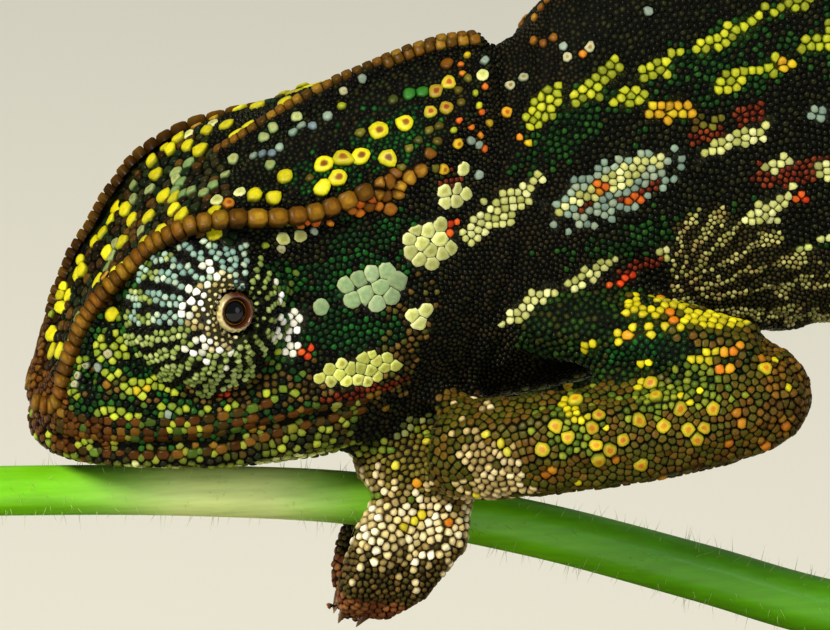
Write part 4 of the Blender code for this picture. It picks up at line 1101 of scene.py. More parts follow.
def rowAnchors():
    # scales with places of their own: the ridges, the lips, the keels of back and belly, the single plates
    places, names, runs = [], [], []
    rng = np.random.default_rng(bars["seed"])

    def row(line, spacing, name, lift=0.0, sides=(1, -1), aside=0.0, until=99.0):
        for side in sides:
            p = paced(line, spacing, rng)
            p = p[p[:, 0] < until] * (1, side, 1) + (0, aside, lift)
            if name in bars:
                runs.append((len(names), len(p), name in ("ridge", "crestBead") and not aside))
            places.append(p)
            names.extend([name] * len(p))

    row(browLine, ((0, 0.44), (5.5, 0.5), (8.2, 0.92), (16, 0.9)), "ridge")
    for aside in (0, 0.5, -0.5):
        row(crestLine[5:] if aside else crestLine, ((9, 0.46), (13, 0.5), (21, 0.54)), "crestBead",
            lift=-0.2 * abs(aside), sides=(1,), aside=aside)
    lips = np.array(lipLine)[1:] + (0, 0.1, 0)
    for lift, until in ((-0.32, 99), (0.32, 99), (0.8, 9.8), (1.32, 10.6)):
        row(lips, ((0, 0.5), (3, 0.66), (12, 0.7)), "labial", lift, until=until)
    names = ["labialYellow" if name == "labial" and k % 7 == 3 else name for k, name in enumerate(names)]
    row(backLine, ((20, 0.62), (80, 0.62)), "brownBead", sides=(1,))
    row(bellyLine, ((0, 0.5), (80, 0.5)), "sideLine", sides=(1,))
    for side in (1, -1):
        for name, back, left, up in pairedPlates + (singlePlates if side == 1 else []):
            places.append(np.array([[back, left * side, up]]))
            names.append(name)
    return toWorld(np.concatenate(places)), names, runs


def overRidge(points, normals):
    # the true top of a ridge near each place: the skin's farthest point away from the middle of the head
    b = toBody(points)
    away = unit(b - (b * (0.6, 0, 0.55) + (3.0, 0, 0)))
    away[(np.abs(b[:, 1]) < 2.0) & (b[:, 0] > 8.5)] = (0, 0, 1)
    out = toWorld(b + away) - points
    along = unit(np.gradient(points, axis=0))
    out = unit(out - along * dot(out, along)[:, None])
    headSkin = skinPoints[skinOwner == "head"]
    found = points.copy()
    for i in range(len(points)):
        gap = headSkin - points[i]
        near = headSkin[(np.abs(gap @ along[i]) < 0.32) & ((gap**2).sum(1) < 1.7**2)]
        if len(near):
            found[i] = near[np.argsort(-(near @ out[i]))[:3]].mean(0)
    evened(found, 3)
    return found, unit(out + 0.3 * normals)


def anchored():
    # the rows and plates, set on the skin; a plate that would crowd an earlier one is left out
    wanted, names, runs = rowAnchors()
    points, normals, _ = onSkin(wanted)
    ways, cuts = np.zeros_like(points), np.zeros_like(points)
    for start, count, onTop in runs:
        mine = slice(start, start + count)
        evened(points[mine], 6)
        evened(normals[mine], 6)
        if onTop:
            points[mine], normals[mine] = overRidge(wanted[mine], normals[mine])
        ahead = np.gradient(points[mine], axis=0)
        ways[mine] = unit(ahead)
        cuts[mine, 0] = 0.53 * np.linalg.norm(ahead, axis=1)
        cuts[mine, 1:] = bars[names[start]]
    own = np.array([kindNumber[name] for name in names])
    kept = []
    for i in range(len(points)):
        others = np.array(kept, int)
        room = 0.31 * (pitches[own[i]] + pitches[own[others]])
        if ways[i].any() or not (np.linalg.norm(points[others] - points[i], axis=1) < room).any():
            kept.append(i)
    return points[kept], unit(normals[kept]), own[kept], ways[kept], cuts[kept]


def neighboursOf(points, count):
    tree = lookup(points)
    return np.array([[hit[1] for hit in tree.find_n(p, count + 1)][1:] for p in points.tolist()])


def scattered():
    rng = np.random.default_rng(coat["seed"])
    a, b, c = (skinPoints[skinTris[:, k]] for k in range(3))
    middle = (a + b + c) / 3
    area = np.linalg.norm(np.cross(b - a, c - a), axis=1) / 2
    owner = skinOwner[skinTris[:, 0]]
    pitch = pitchOf(kindsAt(middle, owner), middle)
    want = np.cumsum(area / (0.866 * coat["fullness"] * pitch**2))
    at = np.searchsorted(want, np.arange(rng.uniform(), want[-1], 1.0))
    at = np.minimum(at, len(area) - 1)
    r, s = np.sqrt(rng.uniform(size=len(at))), rng.uniform(size=len(at))
    loose = a[at] * (1 - r)[:, None] + b[at] * (r * (1 - s))[:, None] + c[at] * (r * s)[:, None]
    fixed, fixedNormals, own, ways, cuts = anchored()
    pinned = len(fixed)
    points, normals, owner = onSkin(np.concatenate([fixed, loose]))
    for step in range(coat["rounds"]):
        if step % 3 == 0:
            kindIndex = kindsAt(points, owner)
            kindIndex[:pinned] = own
            pitch = pitchOf(kindIndex, points)
        near = neighboursOf(points, coat["neighbours"])
        gap = points[:, None] - points[near]
        away = np.maximum(np.linalg.norm(gap, axis=2), 1e-4)
        target = 0.5 * (pitch[:, None] + pitch[near])
        faces = dot(normals[:, None], normals[near]) > 0.2
        crowding = np.clip(target - away, 0, None) * faces
        push = (gap / away[..., None] * crowding[..., None]).sum(1) * coat["push"]
        push -= normals * dot(push, normals)[:, None]
        far = np.linalg.norm(push, axis=1)
        push *= np.minimum(1, coat["stride"] * pitch / np.maximum(far, 1e-6))[:, None]
        push[:pinned] = 0
        points = points + push
        points, normals, owner = onSkin(points)
    kindIndex = kindsAt(points, owner)
    kindIndex[:pinned] = own
    points[:pinned], normals[:pinned] = fixed, fixedNormals
    # a loose scale right under a fixed one is left out
    pitch = pitchOf(kindIndex, points)
    near = neighboursOf(points, 6)
    away = np.linalg.norm(points[:, None] - points[near], axis=2)
    room = 0.4 * pitch
    room[:pinned] = np.maximum(room[:pinned], 1.05 * cuts[:, 1])
    crowd = ((near < pinned) & (away < room[near])).any(1)
    crowd[:pinned] = False
    keep = ~crowd
    return points[keep], normals[keep], owner[keep], kindIndex[keep], pitch[keep], ways, cuts


def layOf(points, normals, owner):
    # the way that scales point: back along the body, outward along the legs, on along the tail
    way = np.tile([1.0, 0, 0], (len(points), 1))
    for name in fleshNodes:
        on = owner == name
        if not on.any() or partOf[name] not in ("upper", "lower", "palm", "toes"):
            continue
        low, high = boxOf(name)
        root = np.clip((low + high) / 2, *boxOf("trunk"))
        way[on] = unit((low + high) / 2 - root + (0, 0, -0.5))
    onTail = np.array([partOf[name] == "tail_length" for name in owner])
    run, _ = alongTail(points[onTail])
    back, up = (np.interp(run + 0.4, tailRun, row) - np.interp(run - 0.4, tailRun, row) for row in tailLine.T)
    way[onTail] = unit(np.stack([back, np.zeros(len(run)), up], 1))
    way = way - normals * dot(way, normals)[:, None]
    weak = np.linalg.norm(way, axis=1) < 0.15
    way[weak] = np.cross(normals[weak], [0, 1.0, 0.3])
    return unit(way)


def cellsOf(points, normals, pitch, first, second, sides):
    # how far each scale reaches in each direction before it meets a neighbour
    near = neighboursOf(points, 13)
    gap = points[near] - points[:, None]
    x, y = dot(gap, first[:, None]), dot(gap, second[:, None])
    away = np.maximum(np.hypot(x, y), 1e-4)
    share = pitch[:, None] / (pitch[:, None] + pitch[near])
    limit = away * share
    noLimit = 9.0
    facing = dot(normals[:, None], normals[near])
    limit[facing < 0.1] = noLimit
    turn = np.arctan2(y, x)
    # a scale on a sharp edge stays small, so that no corner of it stands out in the air
    room = 0.7 * pitch * np.clip(1.7 * facing[:, :8].mean(1) - 0.5, 0.4, 1)
    reach = np.tile(room[:, None], (1, sides))
    for k in range(sides):
        angle = 2 * math.pi * k / sides
        lean = np.cos(angle - turn)
        met = np.where(lean > 0.12, limit / np.maximum(lean, 0.12), noLimit).min(1)
        reach[:, k] = np.minimum(reach[:, k], met)
        # the scales of a bar keep a rounded square, so that they run together
        block = (abs(math.cos(angle)) / barCuts[:, 0]) ** bars["square"]
        block += (abs(math.sin(angle)) / barCuts[:, 1]) ** bars["square"]
        reach[barScales, k] = block ** (-1 / bars["square"])
    return np.maximum(reach, 0.2 * pitch[:, None])


# by size: sides, then rings as (share of the width, share of the height, tone), then the tone of the tip
# each profile's first ring, at tone 0, sunk into the skin, takes the painted crevice shade
profiles = {
    "small": (6, ((1.0, None, 0.0), (0.7, 0.84, 1.0)), 1.0),
    "middle": (8, ((1.0, None, 0.0), (0.88, 0.6, 0.55), (0.58, 0.93, 1.0)), 1.0),
    "plate": (12, ((1.0, None, 0.0), (0.96, 0.55, 0.4), (0.86, 0.92, 0.75), (0.5, 0.98, 1.1),
                   (0.3, 1.0, 1.9)), 2.0),
}


def shades(kindIndex, rng):
    # each scale's own rim, top and heart colour, varied a little from its kind's, and the painted crevice
    # shade at its base
    pick = rng.uniform(size=len(kindIndex))
    bright = np.exp(rng.normal(0, 0.13, len(kindIndex)))[:, None]
    rim, top, heart, creviceShade = (np.zeros((len(kindIndex), 3)) for _ in range(4))
    for k, spec in enumerate(kinds.values()):
        on = np.where(kindIndex == k)[0]
        if not len(on):
            continue
        tops, rims = (np.array([linear(h) for h in spec[key]]) for key in ("tops", "rims"))
        which = (pick[on] * len(tops)).astype(int)
        top[on] = tops[which]
        rim[on] = rims[which % len(rims)]
        hearts = np.array([linear(h) for h in spec["heart"]]) if spec["heart"] else tops
        heart[on] = hearts[which % len(hearts)]
        creviceShade[on] = linear(spec["creviceShade"])
    return rim * bright, top * bright, heart * bright, creviceShade


def unwrap(points, owner):
    # each node of the piece is unrolled round its own axis into its own strip of the map
    uv = np.zeros((len(points), 2))
    names = sorted(set(owner))
    for k, name in enumerate(names):
        on = np.where(owner == name)[0]
        p = points[on]
        if partOf[name] == "tail_length":
            run, turn = alongTail(p)
        elif name.startswith("eye_turret"):
            eye = eyes[name.rsplit("_", 1)[1]]
            out = unit(p - eye["middle"])
            run = np.arccos(np.clip(dot(out, eye["way"]), -1, 1))
            turn = np.arctan2(dot(out, eye["up"]), dot(out, eye["forward"]))
        else:
            middle = p.mean(0)
            _, _, axes = np.linalg.svd((p - middle).T @ (p - middle))
            run = (p - middle) @ axes[0]
            turn = np.arctan2((p - middle) @ axes[2], (p - middle) @ axes[1])
        for axis, value in ((0, run), (1, turn)):
            span = max(np.ptp(value), 1e-6)
            uv[on, axis] = (value - value.min()) / span
        uv[on, 0] = (k + 0.02 + 0.96 * uv[on, 0]) / len(names)
    return 0.004 + 0.992 * uv


def domes(select, profile, uv):
    # every scale of one profile as arrays: points, face sizes, corners, tints, loop UVs
    sides, rings, _ = profile
    n = len(select)
    first, second, normal = scaleFirst[select], scaleSecond[select], scaleNormals[select]
    fill = 0.5 + 0.5 * perKind("fill")[scaleKinds[select]]
    reach = cells[sides][select] * fill[:, None]
    rise = perKind("rise")[scaleKinds[select]] * scaleGrowth[select]
    _, patch = circle(sides, (1, 0), (0, 1))
    spoke = patch[:, :1] * first[:, None] + patch[:, 1:] * second[:, None]
    lean = first * scalePitch[select][:, None] * 0.5 * coat["lean"]
    points, tints, spots = [], [], []
    for share, lift, tone in rings:
        height = -scaleSunk[select] if lift is None else rise * lift
        centre = scalePoints[select] + normal * height[:, None] + lean * (lift or 0)
        ring = centre[:, None] + spoke * (reach * share)[..., None]
        points.append(ring)
        tints.append(np.repeat(toneOf(select, tone)[:, None], sides, 1))
        spots.append(uv[:, None] + patch[None] * 0.0015 * share)
    top = scalePoints[select] + normal * rise[:, None] + lean
    points = np.concatenate(points + [top[:, None]], 1)
    tints = np.concatenate(tints + [toneOf(select, profile[2])[:, None]], 1)
    spots = np.concatenate(spots + [uv[:, None]], 1)
    k = np.arange(sides)
    corners, sizes = [], []
    for i in range(len(rings) - 1):
        corners.append(quadsBetween(i * sides, sides))
        sizes += [4] * sides
    last, tip = (len(rings) - 1) * sides, np.full(sides, len(rings) * sides)
    corners.append(np.stack([last + k, last + (k + 1) % sides, tip], 1).ravel())
    sizes += [3] * sides
    corners = np.concatenate(corners)
    size = points.shape[1]
    everyCorner = (corners[None] + np.arange(n)[:, None] * size).ravel()
    return (points.reshape(-1, 3), np.tile(sizes, n), everyCorner, tints.reshape(-1, 3),
            spots.reshape(-1, 2)[everyCorner])


def toneOf(select, tone):
    # 0 is the painted crevice shade at the base between scales, towards 1 the rim turns to the top, past 1 to
    # the heart
    creviceShade, rim, top, heart = (colour[select] for colour in (scaleCreviceShade, scaleRim, scaleTop, scaleHeart))
    if tone <= 0.4:
        return creviceShade + (rim - creviceShade) * tone / 0.4
    if tone <= 1:
        return rim + (top - rim) * (tone - 0.4) / 0.6
    return top + (heart - top) * (tone - 1)


scalePoints, scaleNormals, scaleOwner, scaleKinds, scalePitch, barWays, barCuts = scattered()
print("scales placed:", len(scalePoints))
scaleFirst = layOf(scalePoints, scaleNormals, scaleOwner)
barScales = np.where(barWays.any(1))[0]
barWays, barCuts = barWays[barScales], barCuts[barScales]
outward = scaleNormals[barScales]
scaleFirst[barScales] = unit(barWays - outward * dot(barWays, outward)[:, None])
scaleSunk = np.full(len(scalePoints), coat["bedDepth"])
scaleSunk[barScales] = barCuts[:, 2]
scaleSecond = np.cross(scaleNormals, scaleFirst)
shadeRandom = np.random.default_rng(coat["seed"] + 1)
scaleRim, scaleTop, scaleHeart, scaleCreviceShade = shades(scaleKinds, shadeRandom)
scaleGrowth = shadeRandom.normal(1.0, 0.12, len(scalePoints)).clip(0.7, 1.4)
cells = {sides: cellsOf(scalePoints, scaleNormals, scalePitch, scaleFirst, scaleSecond, sides)
         for sides in sorted({profile[0] for profile in profiles.values()})}


def coatPieces():
    group = {"head": "head", "lower_jaw": "head", "eye_turret_left": "turret", "eye_turret_right": "turret",
             "neck": "neck"}
    keys = []
    for name, p in zip(scaleOwner, scalePoints):
        if name == "trunk":
            keys.append("flank_left" if p[1] < 0 else "flank_right")
        elif name.startswith("tail_length"):
            keys.append("tail")
        else:
            keys.append(group.get(name) or "_".join(name.split("_")[:2]) + "_leg")
    keys = np.array(keys)
    shown = perKind("fill")[scaleKinds] > 0
    hearted = np.array([k["heart"] is not None for k in kinds.values()])[scaleKinds]
    rear = scalePoints[:, 0] - body["snout"] > 40
    profileOf = np.where(rear | (scalePitch < 0.76) & ~hearted, "middle", "plate")
    profileOf = np.where(scalePitch < np.where(rear, 0.66, 0.42), "small", profileOf)
    triangles = {size: sides * (2 * len(rings) - 1) for size, (sides, rings, _) in profiles.items()}
    cost = np.array([triangles[size] for size in profileOf])
    pieces = []
    for key in sorted(set(keys)):
        on = np.where((keys == key) & shown)[0]
        parts = int(cost[on].sum() // coat["pieceLimit"]) + 1
        order = on[np.argsort(scalePoints[on, 0], kind="stable")]
        for k, share in enumerate(np.array_split(order, parts)):
            pieces.append((f"{key}_scales" + (f"_{k + 1}" if parts > 1 else ""), share))
    made = []
    for name, select in pieces:
        uv = unwrap(scalePoints[select], scaleOwner[select])
        blocks, offset = [], 0
        for size, profile in profiles.items():
            mine = profileOf[select] == size
            if not mine.any():
                continue
            points, sizes, corners, tints, spots = domes(select[mine], profile, uv[mine])
            blocks.append((points, sizes, corners + offset, tints, spots))
            offset += len(points)
        points, sizes, corners, tints, spots = (np.concatenate(part) for part in zip(*blocks))
        obj = meshObject(name, points, sizes, corners, tints, spots)
        obj.data.materials.append(hornyScale)
        made.append(obj)
        print(name, len(select), "scales,", int((sizes - 2).sum()), "triangles")
    return made


hornyScale = scaleMaterial("hornyScale", 0.36, 0.04, 0.5)
coatObjects = coatPieces()

# The skin's own mesh, painted darker than the scales as the shade between them, but marked like them

skinKinds = kindsAt(skinPoints, skinOwner)
creviceShades = np.array([linear(creviceShade) for creviceShade in perKind("creviceShade")])
# painted shade: the skin takes half of its kind's crevice shade colour, kept very dark
skinTint = np.minimum(creviceShades * 0.5, 0.03)[skinKinds]
skinObject = meshObject("skin", skinPoints, np.full(len(skinTris), 3), skinTris.ravel(), skinTint)
skinObject.data.materials.append(skinMaterial())
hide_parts(*fleshNodes)

# Eyes, lids and claws

eyeLook = {"pupil": 0.52, "iris": 0.6, "sides": 40,
           "lid": ((0.93, 3.45), (0.86, 3.66), (0.8, 3.74), (0.74, 3.76), (0.69, 3.72), (0.655, 3.6),
                   (0.64, 3.3)), "creases": 22}


def eyeMaterial():
    # the bare cornea, wet and grown clear: a sharp mirror glint over a black pupil in a gold ring
    material, tree = newMaterial("wetEye")
    _, tint = placeAndTint(tree)
    finishMaterial(tree, {"Base Color": tint, "Roughness": 0.1, "IOR": 1.34, "Specular IOR Level": 0.35,
                          "Coat Weight": 0.3, "Coat Roughness": 0.02})
    return material


def lidMaterial():
    # the fused lid's rim, grown: moist creased leather, brown, with a soft sheen
    material, tree = newMaterial("lidSkin")
    place, tint = placeAndTint(tree)
    crease = addNode(tree, "ShaderNodeTexVoronoi", {"Vector": place, "Scale": 1 / (0.13 * mm)})
    bump = addNode(tree, "ShaderNodeBump", {"Height": crease.outputs["Distance"], "Strength": 0.5,
                                            "Distance": 0.03 * mm}, invert=True)
    finishMaterial(tree, {"Base Color": tint, "Roughness": 0.34, "Coat Weight": 0.3, "Coat Roughness": 0.15,
                          "Normal": bump.outputs["Normal"]})
    return material


def lathed(name, axis, start, forward, up, profile, tintOf, creases=0):
    # (radius, height) pairs turned round the axis from start
    turn, spoke = circle(eyeLook["sides"], forward, up)
    rings, tints = [], []
    for radius, height in profile:
        wave = 1 + 0.025 * np.cos(creases * turn) * (creases > 0)
        rings.append(start + axis * height + spoke * (radius * wave)[:, None])
        tints.append(tintOf(radius, height, turn))
    return turnOut(ringsObject(name, rings, np.concatenate(tints), creases == 0, creases == 0))


def buildEyes():
    wetEye, lidSkin = eyeMaterial(), lidMaterial()
    made = []
    for side, eye in eyes.items():
        size = turret["eyeRadius"]
        polar = np.radians((4, 10, 17, 24, 30, 34, 38, 42, 46, 52, 60, 72, 86, 100, 125, 150, 172))
        profile = [(size * math.sin(a), size * math.cos(a)) for a in polar]

        def ballTint(radius, height, turn):
            colour = "#9c6a1c" if radius > eyeLook["pupil"] else "#020203"
            if height < 0 or radius > eyeLook["iris"]:
                colour = "#2a1607"
            return np.tile(linear(colour), (len(turn), 1))

        ball = lathed(f"eyeball_{side}", eye["way"], eye["eye"], eye["forward"], eye["up"], profile, ballTint)
        ball.data.materials.append(wetEye)
        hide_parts(f"eye_{side}")

        def lidTint(radius, height, turn):
            # painted highlight: the lid's rim turns pale towards the snout side
            pale = np.clip(np.cos(turn + 0.6) * 1.2 + 0.5, 0, 1)[:, None]
            pale = pale * np.clip((radius - 0.73) / 0.06, 0, 1)
            # painted shade: darker in the crease valleys, lighter on their ridges
            shade = 0.85 + 0.2 * np.cos(turn * eyeLook["creases"])[:, None]
            return (linear("#4a2008") * (1 - pale) + linear("#d8c88c") * pale) * shade

        lid = lathed(f"eyelid_{side}", eye["way"], eye["middle"], eye["forward"], eye["up"], eyeLook["lid"],
                     lidTint, eyeLook["creases"])
        lid.data.materials.append(lidSkin)
        made += [ball, lid]
    return made


clawLook = {"sides": 12, "rings": 9, "sunk": 0.25, "droop": 0.22, "taper": 0.75, "point": 0.015,
            "root": "#3a2412", "tip": "#94704a"}


def buildClaws():
    # claw horn, grown in a curved cone: dark, polished by wear, a little clear at the tip
    material, tree = newMaterial("clawHorn")
    _, tint = placeAndTint(tree)
    finishMaterial(tree, {"Base Color": tint, "Roughness": 0.28, "Coat Weight": 0.4,
                          "Subsurface Weight": 0.15, "Subsurface Radius": (0.3 * mm,) * 3})
    made = []
    for k, (root, way) in enumerate(zip(clawRoots, clawWays)):
        _, spoke = circle(clawLook["sides"], *across(way))
        down = np.array((0.15, 0, -1.0)) - way * dot(np.array((0.15, 0, -1.0)), way)
        rings, tints = [], []
        for t in np.linspace(-clawLook["sunk"], 1, clawLook["rings"]):
            centre = root + way * feet["claw"] * t + down * clawLook["droop"] * max(t, 0) ** 2
            wide = feet["clawRadius"] * (1 - max(t, 0)) ** clawLook["taper"] + clawLook["point"]
            rings.append(centre + spoke * wide)
            mix = np.clip(t, 0, 1) ** 1.5
            colour = linear(clawLook["root"]) * (1 - mix) + linear(clawLook["tip"]) * mix
            tints.append(np.tile(colour, (len(spoke), 1)))
        claw = turnOut(ringsObject(f"claw_{k + 1:02d}", rings, np.concatenate(tints)))
        claw.data.materials.append(material)
        made.append(claw)
    return made


# The green stem, with its hairs

# the third green is a painted sunlit patch
stemLook = {"spacing": 0.8, "sides": 40, "greens": ("#74c800", "#5cae00", "#e6ffa0"),  # near, rear, sunlit
            "hairs": 1500, "hairLong": (0.35, 1.0), "hairWide": 0.013, "seed": 5}


def stemMaterial():
    # a young living stem: smooth wax over green rind, streaked lengthwise, with some light passing through
    material, tree = newMaterial("greenStem")
    place, tint = placeAndTint(tree)
    long = addNode(tree, "ShaderNodeMapping", {"Vector": place, "Scale": (0.12, 1, 1)})
    streak = addNode(tree, "ShaderNodeTexNoise", {"Vector": long.outputs["Vector"], "Scale": 1 / (0.35 * mm),
                                                  "Detail": 4.0})
    colour = mottled(tree, tint, streak.outputs["Fac"], (0.3, 0.7), (0.86, 1.12))
    bump = addNode(tree, "ShaderNodeBump", {"Height": streak.outputs["Fac"], "Strength": 0.35,
                                            "Distance": 0.04 * mm})
    finishMaterial(tree, {"Base Color": colour, "Roughness": 0.42, "Coat Weight": 0.15,
                          "Subsurface Weight": 0.25, "Subsurface Radius": (0.5 * mm, 0.9 * mm, 0.2 * mm),
                          "Normal": bump.outputs["Normal"]})
    return material


def hairMaterial():
    # plant hairs: single clear cells that catch the light
    material, tree = newMaterial("stemHair")
    finishMaterial(tree, {"Base Color": rgba("#c8dc94"), "Roughness": 0.35, "Transmission Weight": 0.3})
    return material


def buildStem():
    line = smoothLine(stem["route"], stemLook["spacing"])
    centre = np.stack([line[:, 0] + body["snout"], np.zeros(len(line)), line[:, 1] + body["mouth"]], 1)
    ahead = unit(np.gradient(centre, axis=0))
    rings, tints = [], []
    # painted sunlight: a pale band round the stem below the head
    pale = np.clip(1.3 * np.exp(-((line[:, 0] - 9.2) / 4.0) ** 2), 0, 1)[:, None]
    far = np.clip((line[:, 0] - 18) / 12, 0, 1)[:, None]
    near, rear, paintedSun = (linear(hexColour) for hexColour in stemLook["greens"])
    green = (near * (1 - far) + rear * far) * (1 - pale) + paintedSun * pale
    for k in range(len(line)):
        turn, spoke = circle(stemLook["sides"], np.array((-ahead[k, 2], 0, ahead[k, 0])), (0, 1, 0))
        radius = line[k, 2] * (1 + 0.012 * np.cos(7 * turn + 0.02 * k))
        radius *= 0.9 if k in (0, len(line) - 1) else 1
        rings.append(centre[k] + spoke * radius[:, None])
        tints.append(np.tile(green[k], (len(turn), 1)))
    obj = turnOut(ringsObject("green_stem", rings, np.concatenate(tints)))
    obj.data.materials.append(stemMaterial())
    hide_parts("perch_stem")
    return obj


def hairTree(material):
    # fine hairs scattered over a surface, each standing on its normal with its own length and lean
    tree = bpy.data.node_groups.new("stemHairs", "GeometryNodeTree")
    tree.interface.new_socket("Geometry", in_out="INPUT", socket_type="NodeSocketGeometry")
    for name in ("Density", "Seed", "Width", "Shortest", "Longest"):
        socket = "NodeSocketInt" if name == "Seed" else "NodeSocketFloat"
        tree.interface.new_socket(name, in_out="INPUT", socket_type=socket)
    tree.interface.new_socket("Geometry", in_out="OUTPUT", socket_type="NodeSocketGeometry")
    given = addNode(tree, "NodeGroupInput").outputs
    cone = addNode(tree, "GeometryNodeMeshCone", {"Vertices": 4, "Radius Bottom": 1.0, "Depth": 1.0})
    spots = addNode(tree, "GeometryNodeDistributePointsOnFaces", {
        "Mesh": given["Geometry"], "Density": given["Density"], "Seed": given["Seed"]})
    lean = addNode(tree, "FunctionNodeRandomValue", {"Min": (-0.45, -0.45, 0), "Max": (0.45, 0.45, 6.28),
                                                     "Seed": given["Seed"]}, data_type="FLOAT_VECTOR")
    turned = addNode(tree, "FunctionNodeRotateRotation", {"Rotation": spots.outputs["Rotation"]},
                     rotation_space="LOCAL")
    tree.links.new(lean.outputs["Value"], turned.inputs["Rotate By"])
    tall = addNode(tree, "FunctionNodeRandomValue", {"Seed": given["Seed"]})
    tree.links.new(given["Shortest"], tall.inputs[2])
    tree.links.new(given["Longest"], tall.inputs[3])
    size = addNode(tree, "ShaderNodeCombineXYZ", {"X": given["Width"], "Y": given["Width"],
                                                  "Z": tall.outputs[1]})
    hairs = addNode(tree, "GeometryNodeInstanceOnPoints", {
        "Points": spots.outputs["Points"], "Instance": cone.outputs["Mesh"],
        "Rotation": turned.outputs["Rotation"], "Scale": size.outputs["Vector"]})
    real = addNode(tree, "GeometryNodeRealizeInstances", {"Geometry": hairs.outputs["Instances"]})
    done = addNode(tree, "GeometryNodeSetMaterial", {"Geometry": real.outputs["Geometry"]})
    done.inputs["Material"].default_value = material
    addNode(tree, "NodeGroupOutput", {"Geometry": done.outputs["Geometry"]})
    return tree


def buildHairs(on):
    area = sum(face.area for face in on.data.polygons)
    settings = {"Density": stemLook["hairs"] / area, "Seed": stemLook["seed"],
                "Width": stemLook["hairWide"] * mm, "Shortest": stemLook["hairLong"][0] * mm,
                "Longest": stemLook["hairLong"][1] * mm}
    modifier = on.modifiers.new("hairs", "NODES")
    modifier.node_group = hairTree(hairMaterial())
    for item in modifier.node_group.interface.items_tree:
        if item.in_out == "INPUT" and item.name in settings:
            modifier[item.identifier] = settings[item.name]
    mesh = asRendered(on)
    on.modifiers.remove(modifier)
    obj = newObject("stem_hairs", mesh)
    return obj


def standMaterials():
    # oiled walnut, sawn along the grain and planed: open dark pores, satin
    wood, tree = newMaterial("oiledWalnut")
    place = addNode(tree, "ShaderNodeTexCoord")
    long = addNode(tree, "ShaderNodeMapping", {"Vector": place.outputs["Object"], "Scale": (0.07, 1, 1)})
    grain = addNode(tree, "ShaderNodeTexNoise", {"Vector": long.outputs["Vector"], "Scale": 1 / (2.2 * mm),
                                                 "Detail": 6.0, "Roughness": 0.6, "Distortion": 0.6})
    tone = addNode(tree, "ShaderNodeValToRGB", {"Fac": grain.outputs["Fac"]})
    for stop, (at, colour) in zip(tone.color_ramp.elements, ((0.32, "#2a170c"), (0.7, "#5c3820"))):
        stop.position, stop.color = at, rgba(colour)
    bump = addNode(tree, "ShaderNodeBump", {"Height": grain.outputs["Fac"], "Strength": 0.25,
                                            "Distance": 0.1 * mm})
    finishMaterial(tree, {"Base Color": tone.outputs["Color"], "Roughness": 0.38,
                          "Normal": bump.outputs["Normal"]})
    # stainless rod, drawn and brushed along its length
    steel, tree = newMaterial("brushedSteel")
    place = addNode(tree, "ShaderNodeTexCoord")
    long = addNode(tree, "ShaderNodeMapping", {"Vector": place.outputs["Object"], "Scale": (1, 1, 0.02)})
    lines = addNode(tree, "ShaderNodeTexNoise", {"Vector": long.outputs["Vector"], "Scale": 1 / (0.12 * mm),
                                                 "Detail": 2.0})
    gloss = addNode(tree, "ShaderNodeMapRange", {"Value": lines.outputs["Fac"], "To Min": 0.24,
                                                 "To Max": 0.42})
    bump = addNode(tree, "ShaderNodeBump", {"Height": lines.outputs["Fac"], "Strength": 0.15,
                                            "Distance": 0.02 * mm})
    finishMaterial(tree, {"Base Color": rgba("#b4b2ae"), "Metallic": 1.0,
                          "Roughness": gloss.outputs["Result"], "Normal": bump.outputs["Normal"]})
    return wood, steel


rods = {"stand_rod_front": -5.0, "stand_rod_rear": 93.0,  # how far back they stand
        "radius": 1.5, "bottom": 6.05, "gap": 0.06, "sides": 56}


def buildRod(node, material):
    # a round bar whose top is milled to a saddle for the stem
    line = smoothLine(stem["route"], stemLook["spacing"])
    _, spoke = circle(rods["sides"], (1, 0), (0, 1))

    def ring(radius, drop=0.0, level=None):
        x, y = rods[node] + radius * spoke[:, 0], radius * spoke[:, 1]
        middle, wide = (np.interp(x, line[:, 0], line[:, k]) for k in (1, 2))
        top = body["mouth"] + middle - np.sqrt(np.clip((wide + rods["gap"]) ** 2 - y**2, 0, None)) - drop
        return np.stack([x + body["snout"], y, top if level is None else np.full(len(x), level)], 1)

    radius, bottom = rods["radius"], rods["bottom"]
    rings = [ring(radius - 0.1, level=bottom), ring(radius, level=bottom + 0.1), ring(radius, 0.08),
             ring(radius - 0.08)] + [ring(radius * k) for k in (0.8, 0.6, 0.4, 0.2)]
    obj = turnOut(ringsObject(node.replace("stand_", "steel_"), rings))
    obj.data.materials.append(material)
    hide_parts(node)
    return obj


extras = buildEyes() + buildClaws()
greenStem = buildStem()
stemHairs = buildHairs(greenStem)
wood, steel = standMaterials()
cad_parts["stand_base"].data.materials.clear()
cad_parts["stand_base"].data.materials.append(wood)
rodObjects = [buildRod(node, steel) for node in ("stand_rod_front", "stand_rod_rear")]
print("eyes, claws, stem and stand made:", len(stemHairs.data.polygons), "hair faces")

# Everything rides on the one body

for obj in coatObjects + [skinObject, greenStem, stemHairs] + rodObjects + extras:
    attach(obj, "root")

# Floor, light and camera

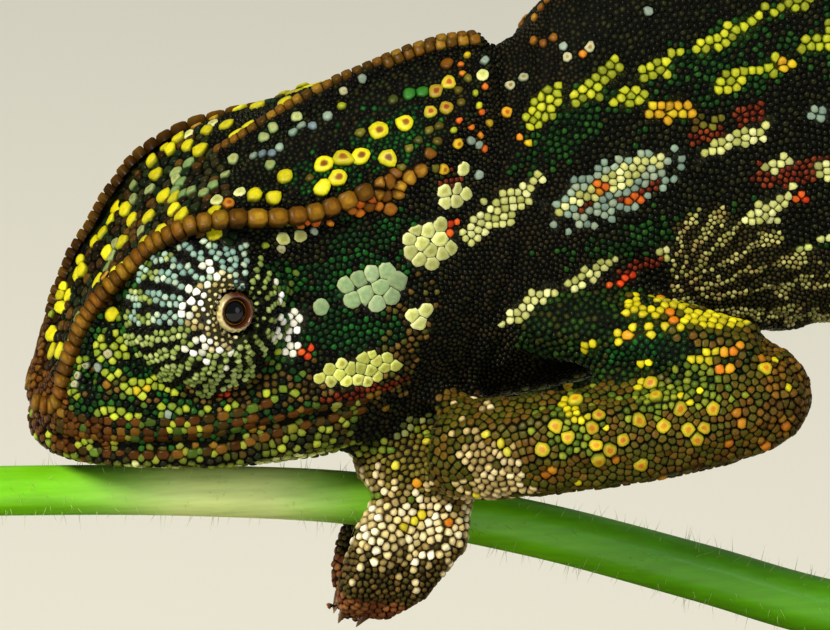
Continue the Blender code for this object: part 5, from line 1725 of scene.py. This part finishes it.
studio = {
    "floor": "#f3f3ec", "floorSize": 3000, "world": "#dfe3dc", "worldPower": 0.3,
    "lights": {  # direction, distance, width, power, colour
        "key": ((-0.55, -0.62, 0.75), 900, 330, 10.2, "#fff6e4"),
        "fill": ((0.7, -0.75, 0.25), 1100, 600, 1.6, "#eef4ff"),
    },
}
view = {"fromSnout": (18.39, 0, 4.30), "turn": 13.0, "tilt": 14.0, "distance": 420.0, "lens": 393.0,
        "sensor": 36}


def buildFloor():
    material, tree = newMaterial("paleFloor")
    finishMaterial(tree, {"Base Color": rgba(studio["floor"]), "Roughness": 0.85})
    size = studio["floorSize"]
    floor = meshObject("floor", [(-size, -size, 0), (size, -size, 0), (size, size, 0), (-size, size, 0)],
                       np.array([4]), [0, 1, 2, 3], smooth=False)
    floor.data.materials.append(material)


def buildLight(name, direction, distance, size, power, colour):
    light = bpy.data.lights.new(name, "AREA")
    light.shape, light.size, light.energy = "DISK", size * mm, power
    light.color = linear(colour)
    obj = newObject(name, light)
    obj.location = (target + unit(direction) * distance) * mm
    obj.rotation_euler = Vector(unit(direction)).to_track_quat("Z", "Y").to_euler()
    obj.visible_camera = False


target = np.array(view["fromSnout"]) + (body["snout"], 0, body["mouth"])
turnAngle, tiltAngle = math.radians(view["turn"]), math.radians(view["tilt"])
toCamera = np.array((-math.sin(turnAngle) * math.cos(tiltAngle), -math.cos(turnAngle) * math.cos(tiltAngle),
                     math.sin(tiltAngle)))
camera = newObject("camera", bpy.data.cameras.new("camera"))
camera.data.lens, camera.data.sensor_width = view["lens"], view["sensor"]
camera.data.clip_start, camera.data.clip_end = 0.01, 50
camera.location = (target + toCamera * view["distance"]) * mm
camera.rotation_euler = Vector(toCamera).to_track_quat("Z", "Y").to_euler()
bpy.context.scene.camera = camera

buildFloor()
for name, look in studio["lights"].items():
    buildLight(name, *look)
world = bpy.data.worlds.new("studio")
world.use_nodes = True
sky = world.node_tree.nodes["Background"]
sky.inputs["Color"].default_value = rgba(studio["world"])
sky.inputs["Strength"].default_value = studio["worldPower"]
bpy.context.scene.world = world
bpy.context.scene.view_settings.view_transform = "Standard"
